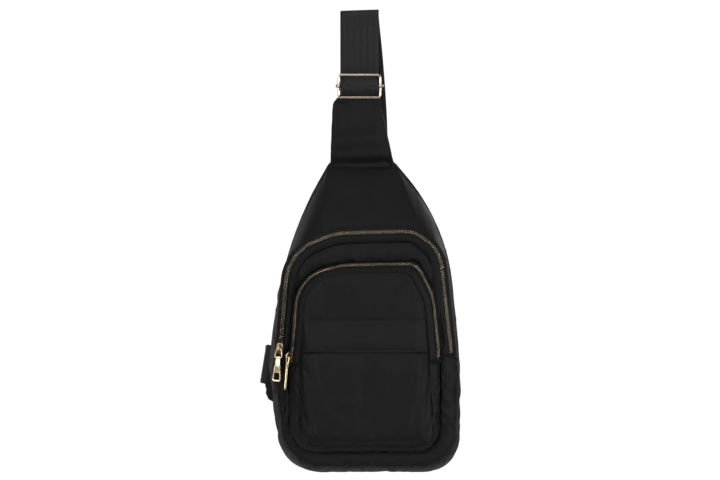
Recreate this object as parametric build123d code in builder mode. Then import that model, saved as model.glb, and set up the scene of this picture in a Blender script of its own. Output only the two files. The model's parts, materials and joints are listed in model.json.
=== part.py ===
from build123d import *
from math import cos, sin, radians
import os

# Sling bag, hanging from its strap.  Millimetres, +Z up, front faces -Y, +X right seen from the front.
# The pieces are drawn with z measured from the strap's top edge and x from the middle of the back
# panel; each finished piece is then moved so that the origin is the centre of the rail in the fold.
os.makedirs("parts", exist_ok=True)

# ---- driving dimensions -------------------------------------------------------------------------
WEBBING_WIDTH = 38.0
WEBBING = 1.4                 # strap webbing thickness
ANCHOR_WEBBING = 1.2
FOLD_R = 5.0                  # rail radius that the strap's fold goes round
STRAP_X = -5.5                # centre line of the strap's front run
FOLD_Z = -FOLD_R - WEBBING    # centre of the fold

SEAM_Y = 16.0                 # back seam of the bag
BACK_PAD = 5.0
PAD_BEVEL = 2.5
SHELL = 2.0                   # padded wall of the yoke and the gusset
PANEL = 2.0
TAPE = 1.0                    # zip tape
ZIP_OUTER_Y = -22.0           # outer edge of the main zip's outer tape
ZIP_INNER_Y = -25.0           # inner edge of its inner tape
POCKET_BASE_Y = -25.0
POCKET_FACE_Y = -37.0
SLIP_FACE_Y = -44.0

MAIN_ZIP_END_Z = -346.0
POCKET_ZIP_END_Z = -353.0
SLIP_MOUTH_Z = -309.0
SLIP_BAND_Z = -341.0          # seam between the slip pocket's band and its panel

ROW_INNER = 0.9               # a row of zip teeth lies between these distances from the zip's centre
ROW_OUTER = 2.4
ROW_HEIGHT = 1.8
MAIN_OUTER_TAPE = 5.5         # widths of tape seen outside and inside the main zip's centre
MAIN_INNER_TAPE = 5.5
POCKET_ROW = 0.3              # the pocket zip's centre, as a share of its slanted gusset

LINING = 0.6
GAP = 0.6                     # clearance between skins that don't touch

BAR_Z = -76.0                 # strap adjuster: a metal frame that rocks on its centre bar
BAR_R = 1.25
BAR_RUNNING = 0.06            # radial clearance of the bar in the frame
FRAME_W = 44.0
FRAME_H = 25.0
FRAME_WIRE = 2.6

WIRE_R = 0.75                 # zip pull links
LINK_LENGTH = 8.5
PULL_LENGTH = 24.0

# ---- outlines, as corners (x, z) with their radii ------------------------------------------------
# Order: neck left, neck right, shoulder right, hip right, bottom right, bottom left, hip left,
# shoulder left.
OUTLINE = [(-36, -151), (30, -151), (82.7, -214), (96, -350), (92, -461), (-82, -461),
           (-97.6, -345), (-77, -223)]
OUTLINE_R = [6, 6, 200, 300, 30, 38, 200, 370]

MAIN_ZIP = [(-30, -223.5), (48, -221.5), (74, -240), (86.5, -352), (84, -450), (-74, -450),
            (-85, -352), (-76, -243)]
MAIN_ZIP_R = [70, 26, 36, 200, 30, 36, 60, 45]

POCKET_BASE = [(-18, -252.5), (54, -251), (70, -284), (75.5, -335), (74, -440), (-75, -440),
               (-76, -356), (-68, -262.5)]
POCKET_BASE_R = [70, 16, 50, 60, 26, 28, 100, 42]
POCKET_FACE = [(-22, -262), (44, -261.5), (59.5, -290), (63.5, -335), (70.5, -436), (-66.5, -437),
               (-66, -356), (-59, -271.5)]
POCKET_FACE_R = [60, 11, 50, 60, 15, 17, 100, 34]


# ---- helpers --------------------------------------------------------------------------------------
def at_y(y):
    """The upright plane at this y, seen from the front."""
    return Plane.XZ.offset(-y)


def outline_at(y, corners, radii, grow=0.0):
    """A closed outline as a face at this y, larger all round by grow."""
    with BuildSketch(at_y(y)) as face:
        with BuildLine():
            FilletPolyline(*corners, radius=radii, close=True)
        make_face()
        if grow:
            offset(amount=grow, kind=Kind.INTERSECTION)
    return face.sketch


def blended(near, far, share):
    """Corners or radii part way from one outline to another."""
    if isinstance(near[0], tuple):
        return [(a[0] + (b[0] - a[0]) * share, a[1] + (b[1] - a[1]) * share) for a, b in zip(near, far)]
    return [max(a + (b - a) * share, 4.0) for a, b in zip(near, far)]


def main_zip_face(reach, depth):
    """The outline this far outside the main zip's centre, this deep behind the zip's slanted face."""
    slope = (ZIP_OUTER_Y - ZIP_INNER_Y) / (MAIN_OUTER_TAPE + MAIN_INNER_TAPE)
    y = ZIP_OUTER_Y - slope * (MAIN_OUTER_TAPE - reach) + depth
    return outline_at(y, MAIN_ZIP, MAIN_ZIP_R, reach)


def pocket_face(share, depth):
    """The outline at this share of the pocket's slanted gusset, this deep inside it."""
    shift = depth * cos(radians(45))
    y = POCKET_BASE_Y + (POCKET_FACE_Y - POCKET_BASE_Y) * share + shift
    corners = blended(POCKET_BASE, POCKET_FACE, share)
    return outline_at(y, corners, blended(POCKET_BASE_R, POCKET_FACE_R, share), -shift)


def finish(piece, name):
    """Move a finished piece so that the rail's centre is the origin, label it and write it."""
    placed = Pos(-STRAP_X, 0, -FOLD_Z) * piece.part
    placed.label = name
    export_step(placed, f"parts/{name}.step")


# ---- shell of the main compartment ----------------------------------------------------------------
def shell_solid(inset, rear_y, front_y):
    """The main compartment's volume, this far inside its outer skin."""
    return [outline_at(rear_y, OUTLINE, OUTLINE_R, -inset),
            outline_at(front_y, MAIN_ZIP, MAIN_ZIP_R, MAIN_OUTER_TAPE - inset)]


with BuildPart() as envelope:
    loft(shell_solid(0.0, SEAM_Y, ZIP_OUTER_Y), ruled=True)

with BuildPart() as shell:
    add(envelope.part)
    loft(shell_solid(SHELL, SEAM_Y, ZIP_OUTER_Y), ruled=True, mode=Mode.SUBTRACT)

with BuildPart() as front_yoke:
    add(shell.part)
    split(bisect_by=Plane.XY.offset(MAIN_ZIP_END_Z), keep=Keep.TOP)
finish(front_yoke, "front_yoke")

with BuildPart() as lower_gusset:
    add(shell.part)
    split(bisect_by=Plane.XY.offset(MAIN_ZIP_END_Z), keep=Keep.BOTTOM)
finish(lower_gusset, "lower_gusset")

with BuildPart() as back_panel:
    extrude(outline_at(SEAM_Y + BACK_PAD - PAD_BEVEL, OUTLINE, OUTLINE_R), amount=BACK_PAD - PAD_BEVEL)
    loft([outline_at(SEAM_Y + BACK_PAD - PAD_BEVEL, OUTLINE, OUTLINE_R),
          outline_at(SEAM_Y + BACK_PAD, OUTLINE, OUTLINE_R, -PAD_BEVEL)], ruled=True)
finish(back_panel, "back_panel")

with BuildPart() as main_lining:
    loft(shell_solid(SHELL + GAP, SEAM_Y - GAP, ZIP_OUTER_Y + TAPE + GAP), ruled=True)
    loft(shell_solid(SHELL + GAP + LINING, SEAM_Y - GAP - LINING, ZIP_OUTER_Y), ruled=True,
         mode=Mode.SUBTRACT)
    add(shell.part, mode=Mode.SUBTRACT)
finish(main_lining, "main_lining")

# ---- zip sliders: sizes, places on the straight left arms, and the room they travel in ------------
SLIDER_W = 7.6
SLIDER_L = 10.0
REAR_W = 5.0
PLATE = 1.4
PLATE_Z = 2.2                 # underside of the front plate above the tape
REAR_PLATE = 0.9
REAR_Z = -1.2                 # front of the rear plate
FLANGE = 0.7
POST = 0.6
CROWN_W = 1.6
CROWN_SPAN = 7.2
CROWN_WINDOW = 3.8
CROWN_TOP = 1.2
PIVOT_Y = -1.0                # where the link's wire rests in the crown
PIVOT_Z = PLATE_Z + PLATE + CROWN_WINDOW / 2
LINK_TOP = 4.4                # widths of the link between its wires' centres
LINK_BOTTOM = 7.4
PULL_RUNNING = 0.06
BARREL_R = 1.6
BARREL_L = 3.8
PULL_TOP = 4.2
PULL_BOTTOM = 8.5
PULL_T = 2.0
WINDOW_W = 4.8
WINDOW_H = 8.0
WINDOW_Y = -18.6
MAIN_REST_Z = -337.0          # heights of the two sliders with the zips open
POCKET_REST_Z = -345.0
POCKET_TWIST = 40.0           # turn of the pocket link's lower bar, so that its pull hangs edge-on


def slider_place(low, high, z, inward, y):
    """Plane of a slider on a straight zip arm: x across the zip, y up it, z out of the bag."""
    share = (z - low[1]) / (high[1] - low[1])
    x = low[0] + (high[0] - low[0]) * share
    up = Vector(high[0] - low[0], 0, high[1] - low[1]).normalized()
    out = Vector(inward[1], -inward[0], 0)
    if out.Y > 0:
        out = out * -1
    out = (out - up * out.dot(up)).normalized()
    return Plane((x, y, z), x_dir=up.cross(out), z_dir=out)


main_slope = (ZIP_OUTER_Y - ZIP_INNER_Y) / (MAIN_OUTER_TAPE + MAIN_INNER_TAPE)
main_place = slider_place(MAIN_ZIP[6], MAIN_ZIP[7], MAIN_REST_Z, (1, -main_slope),
                          ZIP_OUTER_Y - main_slope * MAIN_OUTER_TAPE - TAPE)
pocket_arm = blended(POCKET_BASE, POCKET_FACE, POCKET_ROW)
pocket_inward = (POCKET_FACE[6][0] - POCKET_BASE[6][0], POCKET_FACE_Y - POCKET_BASE_Y)
pocket_place = slider_place(pocket_arm[6], pocket_arm[7], POCKET_REST_Z, pocket_inward,
                            POCKET_BASE_Y + (POCKET_FACE_Y - POCKET_BASE_Y) * POCKET_ROW)
MAIN_TRAVEL = 50.0
POCKET_TRAVEL = 40.0
ROOM = 0.3                    # clearance round a slider along its travel
ROOM_DEPTH = 4.0              # how far in front of and behind the tape that room reaches


def travel_room(place, travel):
    """The space that a slider's plates, post and flanges sweep, with clearance."""
    length = travel + SLIDER_L + 2
    with BuildPart(place) as room:
        with Locations((0, travel / 2, 0)):
            Box(POST + 2 * ROOM, length, 2 * ROOM_DEPTH)
        with Locations((0, travel / 2, PLATE_Z - ROOM / 2 + ROOM_DEPTH / 2)):
            Box(SLIDER_W + 2 * ROOM, length, ROOM_DEPTH)
        with Locations((0, travel / 2, REAR_Z + 0.1 - ROOM_DEPTH / 2)):
            Box(REAR_W + 2 * ROOM, length, ROOM_DEPTH)
        for side in (-1, 1):
            with Locations((side * (SLIDER_W - FLANGE) / 2, travel / 2, 0.1 + ROOM_DEPTH / 2)):
                Box(FLANGE + 2 * ROOM, length, ROOM_DEPTH)
    return room.part


main_room = travel_room(main_place, MAIN_TRAVEL)
pocket_room = travel_room(pocket_place, POCKET_TRAVEL)

# ---- main zip: two tapes and two rows of teeth round the arch ------------------------------------
BEYOND = 2.0                  # how far a cutting solid runs past what it cuts
FAR = 80.0                    # a length longer than the bag is deep


def main_zip_strip(outer_reach, inner_reach, lift, name):
    """A strip of the main zip round its arch: a tape, or a row of teeth lifted in front of it."""
    thickness = lift if lift else TAPE
    front = -TAPE - lift
    back = front + thickness
    with BuildPart() as strip:
        loft([main_zip_face(outer_reach, front), main_zip_face(inner_reach, front)], ruled=True)
        extrude(main_zip_face(outer_reach, front), amount=-thickness)
        loft([main_zip_face(outer_reach + BEYOND, back), main_zip_face(inner_reach - BEYOND, back)],
             ruled=True, mode=Mode.SUBTRACT)
        extrude(outline_at(SEAM_Y, MAIN_ZIP, MAIN_ZIP_R, inner_reach), amount=FAR, mode=Mode.SUBTRACT)
        add(shell.part, mode=Mode.SUBTRACT)
        add(main_room, mode=Mode.SUBTRACT)
        split(bisect_by=Plane.XY.offset(MAIN_ZIP_END_Z), keep=Keep.TOP)
    finish(strip, name)
    return strip.part


main_strips = [main_zip_strip(MAIN_OUTER_TAPE, ROW_INNER, 0, "main_zip_outer_tape"),
               main_zip_strip(-ROW_INNER, -MAIN_INNER_TAPE, 0, "main_zip_inner_tape"),
               main_zip_strip(ROW_OUTER, ROW_INNER, ROW_HEIGHT, "main_zip_outer_teeth"),
               main_zip_strip(-ROW_INNER, -ROW_OUTER, ROW_HEIGHT, "main_zip_inner_teeth")]

with BuildPart() as main_front_panel:
    loft([main_zip_face(MAIN_OUTER_TAPE, 0), main_zip_face(-MAIN_INNER_TAPE, 0)], ruled=True)
    extrude(main_zip_face(MAIN_OUTER_TAPE, 0), amount=-PANEL)
    loft([main_zip_face(MAIN_OUTER_TAPE + BEYOND, PANEL), main_zip_face(-MAIN_INNER_TAPE, PANEL)],
         ruled=True, mode=Mode.SUBTRACT)
    split(bisect_by=Plane.XY.offset(MAIN_ZIP_END_Z), keep=Keep.BOTTOM)
    extrude(outline_at(ZIP_INNER_Y + PANEL, MAIN_ZIP, MAIN_ZIP_R, -MAIN_INNER_TAPE), amount=PANEL)
    add(shell.part, mode=Mode.SUBTRACT)
finish(main_front_panel, "main_front_panel")

# ---- front pocket ------------------------------------------------------------------------------------
CUT_REACH = 0.3               # how far past a strip's edges its cutting loft runs, as a share


def pocket_strip(share_near, share_far, front_depth, rear_depth, end, keep, name):
    """A strip of the pocket's slanted gusset between two depths, above or below an end height."""
    with BuildPart() as strip:
        loft([pocket_face(share_near, front_depth), pocket_face(share_far, front_depth)], ruled=True)
        loft([pocket_face(share_near - CUT_REACH, rear_depth),
              pocket_face(share_far + CUT_REACH, rear_depth)],
             ruled=True, mode=Mode.SUBTRACT)
        add(pocket_room, mode=Mode.SUBTRACT)
        split(bisect_by=Plane.XY.offset(end), keep=keep)
    finish(strip, name)
    return strip.part


POCKET_WIDTH = 16.0           # width of the slanted gusset at the top of the arch, along its slope
ROW_NEAR = ROW_INNER / POCKET_WIDTH
ROW_FAR = ROW_OUTER / POCKET_WIDTH
ARCH = (POCKET_ZIP_END_Z, Keep.TOP)
outer_tape = pocket_strip(0.0, POCKET_ROW - ROW_NEAR, 0, TAPE, *ARCH, "pocket_zip_outer_tape")
inner_tape = pocket_strip(POCKET_ROW + ROW_NEAR, 1.0, 0, TAPE, *ARCH, "pocket_zip_inner_tape")
outer_row = pocket_strip(POCKET_ROW - ROW_FAR, POCKET_ROW - ROW_NEAR, -ROW_HEIGHT, 0, *ARCH,
                         "pocket_zip_outer_teeth")
inner_row = pocket_strip(POCKET_ROW + ROW_NEAR, POCKET_ROW + ROW_FAR, -ROW_HEIGHT, 0, *ARCH,
                         "pocket_zip_inner_teeth")
gusset = pocket_strip(0.0, 1.0, 0, PANEL, POCKET_ZIP_END_Z, Keep.BOTTOM, "pocket_gusset")

with BuildPart() as pocket_front_panel:
    extrude(outline_at(POCKET_FACE_Y + PANEL, POCKET_FACE, POCKET_FACE_R, -TAPE), amount=PANEL)
    add(inner_tape, mode=Mode.SUBTRACT)
    add(gusset, mode=Mode.SUBTRACT)
finish(pocket_front_panel, "pocket_front_panel")

POCKET_ROOM = 3.2             # depth of the lining behind the gusset, clear of the slider's back
with BuildPart() as pocket_lining:
    loft([pocket_face(0.36, POCKET_ROOM), pocket_face(0.95, POCKET_ROOM)], ruled=True)
    loft([pocket_face(-0.1, POCKET_ROOM + LINING), pocket_face(1.2, POCKET_ROOM + LINING)], ruled=True,
         mode=Mode.SUBTRACT)
finish(pocket_lining, "pocket_lining")

# ---- open slip pocket on the front, a shallow tray with its mouth at the top -----------------------
SLIP_BASE = [(-63.5, SLIP_MOUTH_Z), (60.5, SLIP_MOUTH_Z), (68, -430), (-64.5, -431)]
SLIP_FACE = [(-58, SLIP_MOUTH_Z), (55, SLIP_MOUTH_Z), (61.5, -424), (-59, -425)]
SLIP_R = [1, 1, 14, 16]
SLIP_WALL = 1.5
MOUTH_RISE = 10.0             # how far the hollow's tool stands above the mouth


def slip_solid(corners, y, inset, rise):
    """The slip pocket's outline at this y, inset at its sides and bottom, its top raised."""
    (left, top), (right, _), (low_right, bottom), (low_left, _) = corners
    inner = [(left + inset, top + rise), (right - inset, top + rise),
             (low_right - inset, bottom + inset), (low_left + inset, bottom + inset)]
    return outline_at(y, inner, SLIP_R)


with BuildPart() as slip_tray:
    loft([slip_solid(SLIP_BASE, POCKET_FACE_Y, 0, 0), slip_solid(SLIP_FACE, SLIP_FACE_Y, 0, 0)], ruled=True)
    loft([slip_solid(SLIP_BASE, POCKET_FACE_Y, SLIP_WALL, MOUTH_RISE),
          slip_solid(SLIP_FACE, SLIP_FACE_Y + SLIP_WALL, SLIP_WALL, MOUTH_RISE)],
         ruled=True, mode=Mode.SUBTRACT)

with BuildPart() as slip_pocket_band:
    add(slip_tray.part)
    split(bisect_by=Plane.XY.offset(SLIP_BAND_Z), keep=Keep.TOP)
finish(slip_pocket_band, "slip_pocket_band")

with BuildPart() as slip_pocket_panel:
    add(slip_tray.part)
    split(bisect_by=Plane.XY.offset(SLIP_BAND_Z), keep=Keep.BOTTOM)
finish(slip_pocket_panel, "slip_pocket_panel")

# ---- shoulder tab, strap anchor and the adjuster ---------------------------------------------------
TAB_FRONT_Y = 3.4
TAB_REAR_Y = 9.8
TAB_TOP_Z = -86.0
STRAP_TAIL_Y = 5.0            # the strap's tail and the anchor's two legs lie inside the tab
ANCHOR_FRONT_Y = 6.6
ANCHOR_REAR_Y = 8.1
TAIL_END_Z = -104.0

ANCHOR_R = BAR_R + 0.15 + ANCHOR_WEBBING / 2
LEG_TOP_Z = BAR_Z - 1.2       # where the anchor's legs start to slope back

anchor_side = Plane.YZ.offset(STRAP_X)
with BuildLine(anchor_side) as anchor_route:
    FilletPolyline((ANCHOR_FRONT_Y, TAIL_END_Z),
                   (ANCHOR_FRONT_Y, LEG_TOP_Z - ANCHOR_FRONT_Y - ANCHOR_R),
                   (-ANCHOR_R, LEG_TOP_Z), (-ANCHOR_R, BAR_Z), radius=[1.2, 0.9])
    ThreePointArc((-ANCHOR_R, BAR_Z), (0, BAR_Z + ANCHOR_R), (ANCHOR_R, BAR_Z))
    FilletPolyline((ANCHOR_R, BAR_Z), (ANCHOR_R, LEG_TOP_Z),
                   (ANCHOR_REAR_Y, LEG_TOP_Z - ANCHOR_REAR_Y + ANCHOR_R),
                   (ANCHOR_REAR_Y, TAIL_END_Z), radius=[0.9, 1.2])
with BuildPart() as anchor_loop:
    with BuildSketch(Plane((STRAP_X, ANCHOR_FRONT_Y, TAIL_END_Z), x_dir=(1, 0, 0), z_dir=(0, 0, 1))):
        Rectangle(WEBBING_WIDTH - 1, ANCHOR_WEBBING)
    sweep(path=anchor_route.line)

# The strap: from its tail in the tab, behind the adjuster's lower bar, over the centre bar, behind
# the upper bar, up round the fold, and down behind the bag in a slack, twisted loop to the lower
# left corner, where it turns forward round the side wing and ends in it.
OVER_BAR_Y = -3.4
BEHIND_BARS_Y = 4.0
FOLD_MID_R = FOLD_R + WEBBING / 2
LEG_END_Z = -16.0
with BuildLine(Plane.YZ.offset(STRAP_X)) as upper_route:
    FilletPolyline((STRAP_TAIL_Y, TAIL_END_Z), (STRAP_TAIL_Y, BAR_Z - 9.8), (OVER_BAR_Y, BAR_Z - 2.6),
                   (OVER_BAR_Y, BAR_Z + 2), (BEHIND_BARS_Y, BAR_Z + 9.4), (BEHIND_BARS_Y, BAR_Z + 18),
                   (-FOLD_MID_R, LEG_END_Z), (-FOLD_MID_R, FOLD_Z), radius=[2.5, 2, 2, 2.5, 12, 12])
    ThreePointArc((-FOLD_MID_R, FOLD_Z), (0, FOLD_Z + FOLD_MID_R), (FOLD_MID_R, FOLD_Z))
    Line((FOLD_MID_R, FOLD_Z), (FOLD_MID_R, LEG_END_Z))

# Slack run behind the bag: centre of the webbing, the way its width points, the way it runs.
SLACK = [((-4.6, FOLD_MID_R, LEG_END_Z), (1, 0, 0), (0, 0, -1)),
         ((-1, 10, -52), (1, 0, 0), (0.08, 0.12, -1)),
         ((2.6, 17, -102), (1, 0, 0), (0.05, 0.17, -1)),
         ((4.3, 27, -150), (1, 0, 0), (0.03, 0.2, -1)),
         ((6, 36, -198), (0.97, 0.24, 0), (0.04, 0.16, -1)),
         ((8, 43, -243), (0.8, 0.6, 0), (0.03, 0.12, -1)),
         ((10, 47, -285), (0.45, 0.9, 0), (0.03, 0.05, -1)),
         ((10, 48, -325), (0.1, 1, 0), (-0.06, 0, -1)),
         ((4, 48, -362), (0, 1, 0), (-0.35, 0, -1)),
         ((-12, 46.5, -387), (0, 1, -0.08), (-0.9, -0.05, -0.45)),
         ((-34, 42.5, -392), (-0.02, 0.88, -0.4), (-1, -0.25, 0.05)),
         ((-56, 35.5, -382), (-0.06, 0.62, -0.75), (-0.93, -0.3, 0.3)),
         ((-76, 28.5, -367), (-0.12, 0.3, -0.94), (-0.92, -0.25, 0.3))]
WING_TURN_R = 4.5
WING_TURN = (-97.6, 18.0, -355.3)     # centre of the turn round the side wing
LEAN = (-0.16, 0, -0.987)             # the webbing's width there, leaning with the corner
LEFTWARD = (-0.987, 0, 0.16)
TURN_STEPS = 6


def turn_section(step):
    """Centre, width and run of the webbing at a step of its turn round the side wing."""
    angle = radians(180.0 * step / TURN_STEPS)
    centre = Vector(*WING_TURN) + Vector(0, 1, 0) * WING_TURN_R * cos(angle)
    centre = centre + Vector(*LEFTWARD) * WING_TURN_R * sin(angle)
    return centre, LEAN, Vector(*LEFTWARD) * cos(angle) - Vector(0, 1, 0) * sin(angle)


def webbing_section(centre, width, run):
    """The webbing's cross-section as a face."""
    normal = Vector(*run).normalized()
    across = Vector(*width)
    across = (across - normal * across.dot(normal)).normalized()
    with BuildSketch(Plane(centre, x_dir=across, z_dir=normal)) as section:
        Rectangle(WEBBING_WIDTH, WEBBING)
    return section.sketch


turn = [turn_section(step) for step in range(TURN_STEPS + 1)]
end_centre = turn[-1][0] - Vector(*LEFTWARD) * 6.0
sections = [webbing_section(*place) for place in SLACK + turn]
sections.append(webbing_section(end_centre, LEAN, turn[-1][2]))
with BuildPart() as strap_webbing:
    with BuildSketch(Plane((STRAP_X, STRAP_TAIL_Y, TAIL_END_Z), x_dir=(1, 0, 0), z_dir=(0, 0, 1))):
        Rectangle(WEBBING_WIDTH, WEBBING)
    sweep(path=upper_route.line)
    loft(sections, ruled=True)
    add(envelope.part, mode=Mode.SUBTRACT)
finish(strap_webbing, "strap_webbing")

with anchor_loop:
    add(strap_webbing.part, mode=Mode.SUBTRACT)
finish(anchor_loop, "anchor_loop")

# Shoulder tab: a padded sleeve sewn into the neck; the anchor's legs and the strap's tail sit in it.
TAB_SECTIONS = [(-27.6, 15.4, TAB_FRONT_Y, TAB_REAR_Y, TAB_TOP_Z), (-32.5, 16.4, TAB_FRONT_Y, TAB_REAR_Y, -93),
                (-34, 22, 4.6, 10.6, -118), (-35, 30.6, 11, 16, -158)]
SLEEVE_ROOM = 0.4             # the sleeve is this much wider than the webbing in it
tab_faces = []
for left, right, front, rear, z in TAB_SECTIONS:
    with BuildSketch(Plane.XY.offset(z)) as tab_face:
        with Locations(((left + right) / 2, (front + rear) / 2)):
            Rectangle(right - left, rear - front)
    tab_faces.append(tab_face.sketch)
with BuildPart() as shoulder_tab:
    loft(tab_faces, ruled=True)
    with Locations((STRAP_X, (STRAP_TAIL_Y + ANCHOR_REAR_Y) / 2, (TAIL_END_Z + TAB_TOP_Z) / 2)):
        Box(WEBBING_WIDTH + SLEEVE_ROOM, ANCHOR_REAR_Y - STRAP_TAIL_Y + WEBBING + SLEEVE_ROOM / 2,
            TAB_TOP_Z - TAIL_END_Z + 2 * SLEEVE_ROOM, mode=Mode.SUBTRACT)
    add(envelope.part, mode=Mode.SUBTRACT)
    add(strap_webbing.part, mode=Mode.SUBTRACT)
finish(shoulder_tab, "shoulder_tab")

# Side wing: the nylon tab in the left seam that the strap's far end is sewn into.
WING_REAR_Y = 15.4
WING_T = 3.8
WING_CORNERS = [(-90, -331), (-93.8, -337.8), (-98.6, -376), (-99.8, -383.7), (-97, -390), (-89, -394.5)]
with BuildPart() as side_wing:
    with BuildSketch(at_y(WING_REAR_Y)):
        with BuildLine():
            Polyline(*WING_CORNERS, close=True)
        make_face()
    extrude(amount=WING_T)
    add(envelope.part, mode=Mode.SUBTRACT)
    add(strap_webbing.part, mode=Mode.SUBTRACT)
finish(side_wing, "side_wing")

# Adjuster: rounded wire frame with a boss each side, and the bar that it rocks on.
FRAME_CENTRE_Z = -76.2
FRAME_CORNER = 4.0
BOSS_R = 2.3
BAR_LENGTH = 48.0
HEAD_R = 1.9
HEAD = 1.0
with BuildPart() as adjuster_frame:
    with BuildSketch(Plane((STRAP_X, 0, FRAME_CENTRE_Z), x_dir=(1, 0, 0), z_dir=(0, -1, 0))):
        RectangleRounded(FRAME_W, FRAME_H, FRAME_CORNER)
        RectangleRounded(FRAME_W - 2 * FRAME_WIRE, FRAME_H - 2 * FRAME_WIRE, FRAME_CORNER - FRAME_WIRE,
                         mode=Mode.SUBTRACT)
    extrude(amount=FRAME_WIRE / 2, both=True)
    rims = adjuster_frame.edges().filter_by_position(Axis.Y, -FRAME_WIRE / 2 - 0.01, -FRAME_WIRE / 2 + 0.01)
    rims += adjuster_frame.edges().filter_by_position(Axis.Y, FRAME_WIRE / 2 - 0.01, FRAME_WIRE / 2 + 0.01)
    fillet(rims, radius=FRAME_WIRE * 0.35)
    for side in (-1, 1):
        boss_x = STRAP_X + side * (FRAME_W - FRAME_WIRE) / 2
        with Locations((boss_x, 0, BAR_Z)):
            Cylinder(BOSS_R, FRAME_WIRE, rotation=(0, 90, 0))
    with Locations((STRAP_X, 0, BAR_Z)):
        Cylinder(BAR_R + BAR_RUNNING, FRAME_W + 2, rotation=(0, 90, 0), mode=Mode.SUBTRACT)
finish(adjuster_frame, "adjuster_frame")

with BuildPart() as adjuster_bar:
    with Locations((STRAP_X, 0, BAR_Z)):
        Cylinder(BAR_R, BAR_LENGTH, rotation=(0, 90, 0))
    for side in (-1, 1):
        head_x = STRAP_X + side * (BAR_LENGTH - HEAD) / 2
        with Locations((head_x, 0, BAR_Z)):
            Cylinder(HEAD_R, HEAD, rotation=(0, 90, 0))
finish(adjuster_bar, "adjuster_bar")

# ---- zip sliders, their wire links and their pulls -------------------------------------------------
def zip_slider(place, name):
    """Slider: two plates joined by a post, with side flanges and a crown for the link."""
    with BuildPart(place) as slider:
        with BuildSketch(place.offset(PLATE_Z)):
            RectangleRounded(SLIDER_W, SLIDER_L, 2.0)
        extrude(amount=PLATE)
        with BuildSketch(place.offset(REAR_Z - REAR_PLATE)):
            RectangleRounded(REAR_W, SLIDER_L - 1, 2.0)
        extrude(amount=REAR_PLATE)
        with Locations((0, 2, (PLATE_Z + REAR_Z) / 2)):
            Box(POST, 3, PLATE_Z - REAR_Z + 0.4)
        for side in (-1, 1):
            with Locations((side * (SLIDER_W - FLANGE) / 2, 0, PLATE_Z - 0.8)):
                Box(FLANGE, SLIDER_L - 4.4, 2.0)
            with Locations((0, side * (CROWN_SPAN - PLATE) / 2, PIVOT_Z)):
                Box(CROWN_W, PLATE, CROWN_WINDOW + 0.2)
        with Locations((0, 0, PLATE_Z + PLATE + CROWN_WINDOW + CROWN_TOP / 2)):
            Box(CROWN_W, CROWN_SPAN, CROWN_TOP)
    finish(slider, name)


def wire(start, end):
    """A straight wire with round ends from one point to another."""
    run = Vector(end) - Vector(start)
    with BuildPart(Plane(start, z_dir=run)) as piece:
        Cylinder(WIRE_R, run.length, align=(Align.CENTER, Align.CENTER, Align.MIN))
        Sphere(WIRE_R)
    return piece.part


def link_and_pull(place, twist, name):
    """Wire link in the slider's crown, its lower bar twisted about the zip, and the pull on it."""
    pivot = place.from_local_coords(Vector(0, PIVOT_Y, PIVOT_Z))
    across, down, out = place.x_dir, place.y_dir * -1, place.z_dir
    turned = across * cos(radians(twist)) + out * sin(radians(twist))
    lower = pivot + down * LINK_LENGTH
    corners = [pivot - across * LINK_TOP / 2, pivot + across * LINK_TOP / 2,
               lower + turned * LINK_BOTTOM / 2, lower - turned * LINK_BOTTOM / 2]
    with BuildPart() as link:
        for start, end in zip(corners, corners[1:] + corners[:1]):
            add(wire(start, end))
    finish(link, f"{name}_zip_link")
    hang = Plane(lower, x_dir=turned, z_dir=turned.cross(down * -1))
    with BuildPart(hang) as pull:
        with BuildSketch(hang.offset(-PULL_T / 2)):
            with BuildLine():
                Polyline((-PULL_TOP / 2, 0), (PULL_TOP / 2, 0), (PULL_BOTTOM / 2, -PULL_LENGTH + 2),
                         (PULL_BOTTOM / 2 - 2, -PULL_LENGTH), (2 - PULL_BOTTOM / 2, -PULL_LENGTH),
                         (-PULL_BOTTOM / 2, -PULL_LENGTH + 2), close=True)
            make_face()
            with Locations((0, WINDOW_Y)):
                RectangleRounded(WINDOW_W, WINDOW_H, 1.5, mode=Mode.SUBTRACT)
        extrude(amount=PULL_T)
        Cylinder(BARREL_R, PULL_TOP, rotation=(0, 90, 0))
        Cylinder(WIRE_R + PULL_RUNNING, FAR, rotation=(0, 90, 0), mode=Mode.SUBTRACT)
    finish(pull, f"{name}_zip_pull")


zip_slider(main_place, "main_zip_slider")
zip_slider(pocket_place, "pocket_zip_slider")
link_and_pull(main_place, 0, "main")
link_and_pull(pocket_place, POCKET_TWIST, "pocket")

# Metal stops at both ends of each zip.
STOP = (5.0, 2.0, 2.2)
STOP_BELOW = 6.6              # distance of a stop below its slider at rest


def zip_stops(places, strips, name):
    """One stop clenched across the end of each arm of a zip, as separate solids."""
    with BuildPart() as stops:
        for place, below in places:
            with Locations(place.offset(STOP[2] / 2 + 0.1).location * Location((0, -below, 0))):
                Box(*STOP)
        for strip in strips:
            add(strip, mode=Mode.SUBTRACT)
    finish(stops, name)


main_right = slider_place(MAIN_ZIP[3], MAIN_ZIP[2], MAIN_REST_Z, (-1, -main_slope), main_place.origin.Y)
pocket_right = slider_place(pocket_arm[4], pocket_arm[3], POCKET_REST_Z,
                            (POCKET_FACE[3][0] - POCKET_BASE[3][0], POCKET_FACE_Y - POCKET_BASE_Y),
                            pocket_place.origin.Y)
pocket_strips = [outer_tape, inner_tape, outer_row, inner_row]
zip_stops([(main_place, STOP_BELOW), (main_right, STOP_BELOW)], main_strips, "main_zip_stops")
zip_stops([(pocket_place, STOP_BELOW), (pocket_right, STOP_BELOW)], pocket_strips, "pocket_zip_stops")
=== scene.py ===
import json
import math

import bmesh
import bpy
import numpy as np
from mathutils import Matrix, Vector, noise


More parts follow.
